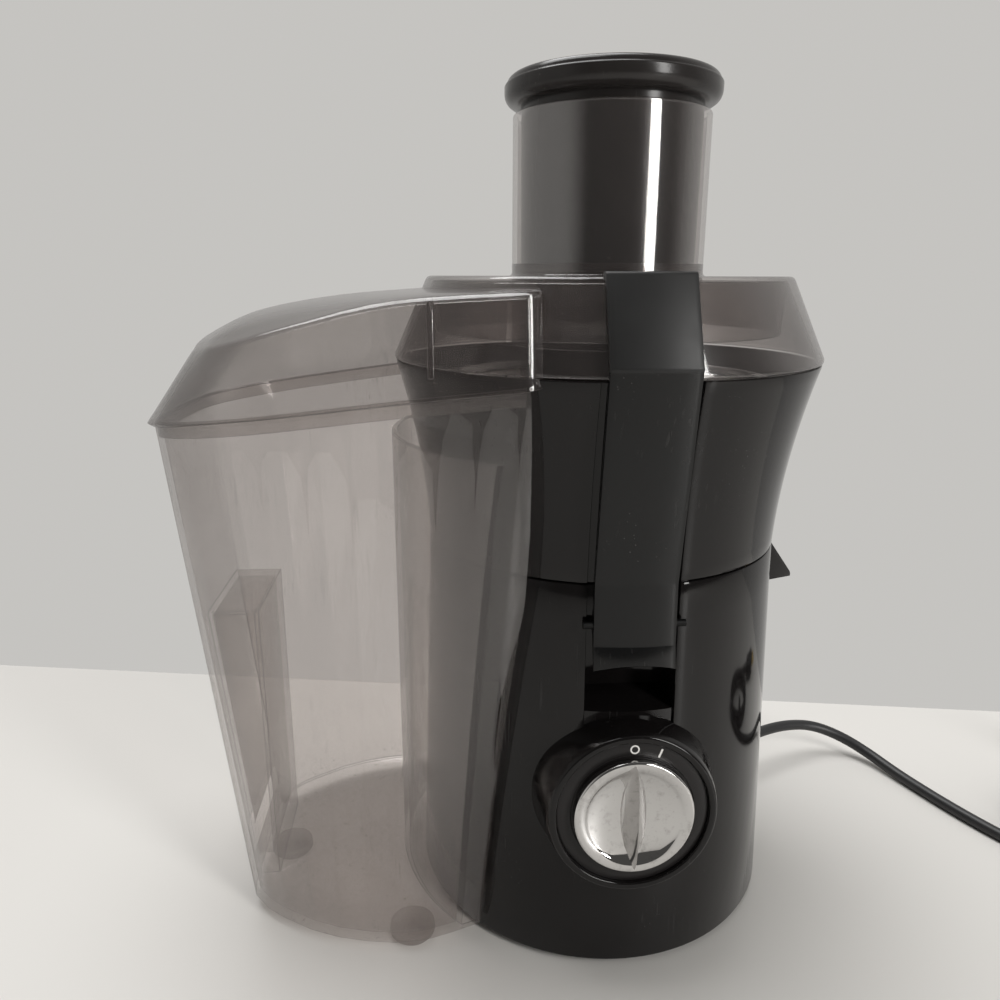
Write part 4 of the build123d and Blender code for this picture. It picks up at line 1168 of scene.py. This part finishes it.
def coil_points():
    """Points of the put-away turns: two turns side by side on the table and the rest on top."""
    turns_end, step = 1150.0, 22.5
    bands = [(0, 38.0, 3.9), (300, 38.0, 4.4), (400, 31.0, 4.5), (660, 31.0, 4.6), (780, 34.4, 10.7),
             (1020, 34.4, 10.9),
             (1150, 41.0, 11.0)]
    points = []
    turned = 0.0
    while turned <= turns_end:
        for (start, r0, z0), (end, r1, z1) in zip(bands, bands[1:]):
            if start <= turned <= end:
                share = (turned - start) / (end - start)
                radius, height = blend_between(r0, r1, share), blend_between(z0, z1, share)
        angle = math.radians(COIL_ENTRY + turned)
        points.append((COIL_CENTRE[0] + radius * math.cos(angle), COIL_CENTRE[1] + radius * math.sin(angle),
                       height))
        turned += step
    return points


class JUICER_OT_cord(bpy.types.Operator):
    """Power cord with its strain relief, coil and plug"""

    bl_idname = "juicer.cord"
    bl_label = "Power Cord"

    def execute(self, context):
        size = context.scene.juicer_cord
        curve = bpy.data.curves.new("cord", "CURVE")
        curve.dimensions = "3D"
        curve.bevel_depth = size.diameter / 2
        curve.bevel_resolution = 5
        curve.resolution_u = 10
        curve.use_fill_caps = True
        line = curve.splines.new("NURBS")
        points = CORD_ROUTE + coil_points() + CORD_END
        line.points.add(len(points) - 1)
        for point, place in zip(line.points, points):
            point.co = (*(Vector(place) * MM), 1)
        line.order_u = 3
        line.use_endpoint_u = True
        cord = bpy.data.objects.new("cord", curve)
        context.scene.collection.objects.link(cord)
        finished(cord, "cord_black", "base", "cord_black", "power_cord", "cord_coil")
        plug = self.make_plug()
        self.make_relief()
        return {"FINISHED"}

    def make_relief(self):
        """Tapered strain relief with ring grooves along it."""
        direction = Vector((CORD_EXIT[0], CORD_EXIT[1], 0)).normalized()
        start = Vector((0, 0, CORD_EXIT[2])) + direction * (base_radius(CORD_EXIT[2]) - 6)
        outline = [(0, 0), (8.2, 0), (8.2, 2.2), (6.2, 2.4), (6.2, 7.4), (7.0, 7.6), (7.0, 9.2)]
        for groove in range(7):
            z = 9.6 + groove * 3.0
            radius = 5.9 - groove * 0.27
            outline += [(radius, z), (radius - 0.05, z + 1.7), (radius - 0.9, z + 1.9),
                        (radius - 0.95, z + 2.8)]
        outline += [(3.9, 30.8), (3.5, 32.0), (0, 32.0)]
        aim = direction.to_track_quat("Z", "Y").to_matrix().to_4x4()
        relief = lathe("strain_boot", outline, 48, Matrix.Translation(start * MM) @ aim)
        finished(soften(relief, 50), "cord_black", "base", "rubber", "strain_relief")

    def make_plug(self):
        """Moulded plug body that swells from the cord to a flat face with a finger grip."""
        x, z = PLUG_NECK[0], PLUG_NECK[2]
        sections = [(-7, 3.5, 3.5, 2), (-6.5, 3.9, 3.9, 2), (4, 4.3, 4.2, 2), (13.5, 5.2, 4.9, 2.1),
                    (15, 8.0, 6.4, 2.6),
                    (19, 10.8, 7.9, 3.2), (30, 11.4, 7.4, 3.6), (40, 12.3, 8.3, 4), (48.6, 12.4, 8.5, 4.5),
                    (49.7, 12.0, 8.1, 4.5), (50, 11.2, 7.4, 4.5)]
        rows = []
        for y, half_w, half_h, power in sections:
            row = []
            for k in range(40):
                a = 2 * math.pi * k / 40
                c, s = math.cos(a), math.sin(a)
                row.append((x + half_w * math.copysign(abs(c) ** (2 / power), c), y,
                            z + half_h * math.copysign(abs(s) ** (2 / power), s)))
            rows.append(row)
        plug = skin("plug_body", rows, caps=True, recalculate=True)
        return finished(soften(plug, 40), "plug_black", "base", "cord_black", "plug")


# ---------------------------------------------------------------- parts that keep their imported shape

DRESSED = {
    "satin_black": ("base_bottom_plate", "brush_holders", "rotary_switch", "cooling_fan", "drive_coupling",
                    "strainer_frame"),
    "rubber": ("base_feet", "shaft_seal"),
    "cord_black": ("cord_tie",),
    "white_print": ("dial_marks",),
    "zinc": ("bottom_screws", "motor_bolts", "motor_spacers", "motor_upper_bracket", "motor_lower_bracket"),
    "black_steel": ("latch_pins",),
    "laminated_steel": ("stator_core", "armature"),
    "turned_steel": ("motor_shaft", "upper_bearing", "lower_bearing", "knob_shaft"),
    "copper_wire": ("field_windings",),
    "copper_bar": ("commutator",),
    "brass": ("plug_pins",),
}


class JUICER_OT_inner_parts(bpy.types.Operator):
    """Finishes of the motor, switch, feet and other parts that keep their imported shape"""

    bl_idname = "juicer.inner_parts"
    bl_label = "Inner Parts"

    def execute(self, context):
        for name, nodes in DRESSED.items():
            for node in nodes:
                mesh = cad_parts[node].data
                mesh.materials.clear()
                mesh.materials.append(finish(name))
        return {"FINISHED"}


# ---------------------------------------------------------------- studio


def area_light(name, place, target, width, height, power, tint=(1, 1, 1)):
    """Rectangular light aimed at a point; places in metres."""
    lamp = bpy.data.lights.new(name, "AREA")
    lamp.shape = "RECTANGLE"
    lamp.size, lamp.size_y, lamp.energy, lamp.color = width, height, power, tint
    holder = bpy.data.objects.new(name, lamp)
    bpy.context.scene.collection.objects.link(holder)
    holder.location = place
    holder.rotation_euler = (Vector(target) - Vector(place)).to_track_quat("-Z", "Y").to_euler()


class JUICER_OT_camera(bpy.types.Operator):
    """Camera at eye level with the lid, a little to the left of the dial"""

    bl_idname = "juicer.camera"
    bl_label = "Camera"

    def execute(self, context):
        data = bpy.data.cameras.new("camera")
        data.sensor_width = 36
        data.lens = 29.42
        camera = bpy.data.objects.new("camera", data)
        context.scene.collection.objects.link(camera)
        heading, down, roll = math.radians(-4.217), math.radians(15.392), math.radians(0.153)
        turn = Matrix.Rotation(heading, 4, "Z") @ Matrix.Rotation(math.pi / 2 - down, 4, "X")
        camera.matrix_world = (Matrix.Translation((-0.07477, -0.37417, 0.29229)) @ turn
                               @ Matrix.Rotation(roll, 4, "Z"))
        context.scene.camera = camera
        return {"FINISHED"}


class JUICER_OT_stage(bpy.types.Operator):
    """Pale table, soft room light and two windows"""

    bl_idname = "juicer.stage"
    bl_label = "Stage"

    def execute(self, context):
        data = bmesh.new()
        corners = [(-1.6, -1.6), (1.6, -1.6), (1.6, -0.104), (-1.6, 0.424)]
        data.faces.new([data.verts.new((x, y, 0)) for x, y in corners])
        table = piece_of(data, "table")
        table.data.materials.append(finish("table"))
        world = bpy.data.worlds.new("room")
        world.use_nodes = True
        self.paint_room(world.node_tree, tuple(context.scene.juicer_colours.wall))
        context.scene.world = world
        area_light("window", (0.95, -1.15, 0.75), (0.02, 0, 0.2), 0.30, 1.2, 17, (1.0, 0.99, 0.97))
        area_light("overhead", (-0.35, 0.45, 2.0), (0, 0, 0.1), 1.4, 1.4, 34)
        context.scene.view_settings.view_transform = "Standard"
        context.scene.cycles.transparent_max_bounces = 32
        return {"FINISHED"}

    def paint_room(self, tree, wall):
        """Light wall behind and at the left, darker room in front."""
        shade = tree.nodes["Background"]
        where, parts = tree.nodes.new("ShaderNodeTexCoord"), tree.nodes.new("ShaderNodeSeparateXYZ")
        tree.links.new(where.outputs["Generated"], parts.inputs[0])
        shares = []
        for axis, low, high in (("Y", -0.45, 0.25), ("X", -0.55, -0.95)):
            step = tree.nodes.new("ShaderNodeMapRange")
            step.interpolation_type = "SMOOTHSTEP"
            step.inputs["From Min"].default_value, step.inputs["From Max"].default_value = low, high
            tree.links.new(parts.outputs[axis], step.inputs["Value"])
            shares.append(step.outputs[0])
        most, mix = tree.nodes.new("ShaderNodeMath"), tree.nodes.new("ShaderNodeMix")
        most.operation, mix.data_type = "MAXIMUM", "RGBA"
        for share, socket in zip(shares, most.inputs):
            tree.links.new(share, socket)
        tree.links.new(most.outputs[0], mix.inputs[0])
        mix.inputs[6].default_value = (*(c * 0.16 for c in wall), 1)
        mix.inputs[7].default_value = (*wall, 1)
        tree.links.new(mix.outputs[2], shade.inputs["Color"])


FINISHES["table"] = tabletop


# ---------------------------------------------------------------- add-on

OPERATORS = (JUICER_OT_camera, JUICER_OT_cord, JUICER_OT_housing, JUICER_OT_bowl, JUICER_OT_strainer,
             JUICER_OT_bin,
             JUICER_OT_lid, JUICER_OT_pusher, JUICER_OT_latches, JUICER_OT_dial, JUICER_OT_inner_parts,
             JUICER_OT_stage)
GROUPS = {"juicer_sizes": JuicerSizes, "juicer_cord": JuicerCordSizes, "juicer_colours": JuicerColours}


class JUICER_PT_panel(bpy.types.Panel):
    """Sizes, colours and the steps that build the juicer"""

    bl_idname = "JUICER_PT_panel"
    bl_label = "Juicer"
    bl_space_type = "VIEW_3D"
    bl_region_type = "UI"
    bl_category = "Juicer"

    def draw(self, context):
        for name, group in GROUPS.items():
            column = self.layout.column()
            for field in group.__annotations__:
                column.prop(getattr(context.scene, name), field)
        for operator in OPERATORS:
            self.layout.operator(operator.bl_idname)


def register():
    for group in GROUPS.values():
        bpy.utils.register_class(group)
    for name, group in GROUPS.items():
        setattr(bpy.types.Scene, name, PointerProperty(type=group))
    for operator in OPERATORS:
        bpy.utils.register_class(operator)
    bpy.utils.register_class(JUICER_PT_panel)


def unregister():
    bpy.utils.unregister_class(JUICER_PT_panel)
    for operator in reversed(OPERATORS):
        bpy.utils.unregister_class(operator)
    for name, group in GROUPS.items():
        delattr(bpy.types.Scene, name)
        bpy.utils.unregister_class(group)


def main():
    """Build the juicer."""
    register()
    for operator in OPERATORS:
        group, name = operator.bl_idname.split(".")
        getattr(getattr(bpy.ops, group), name)()


if __name__ == "__main__":
    main()
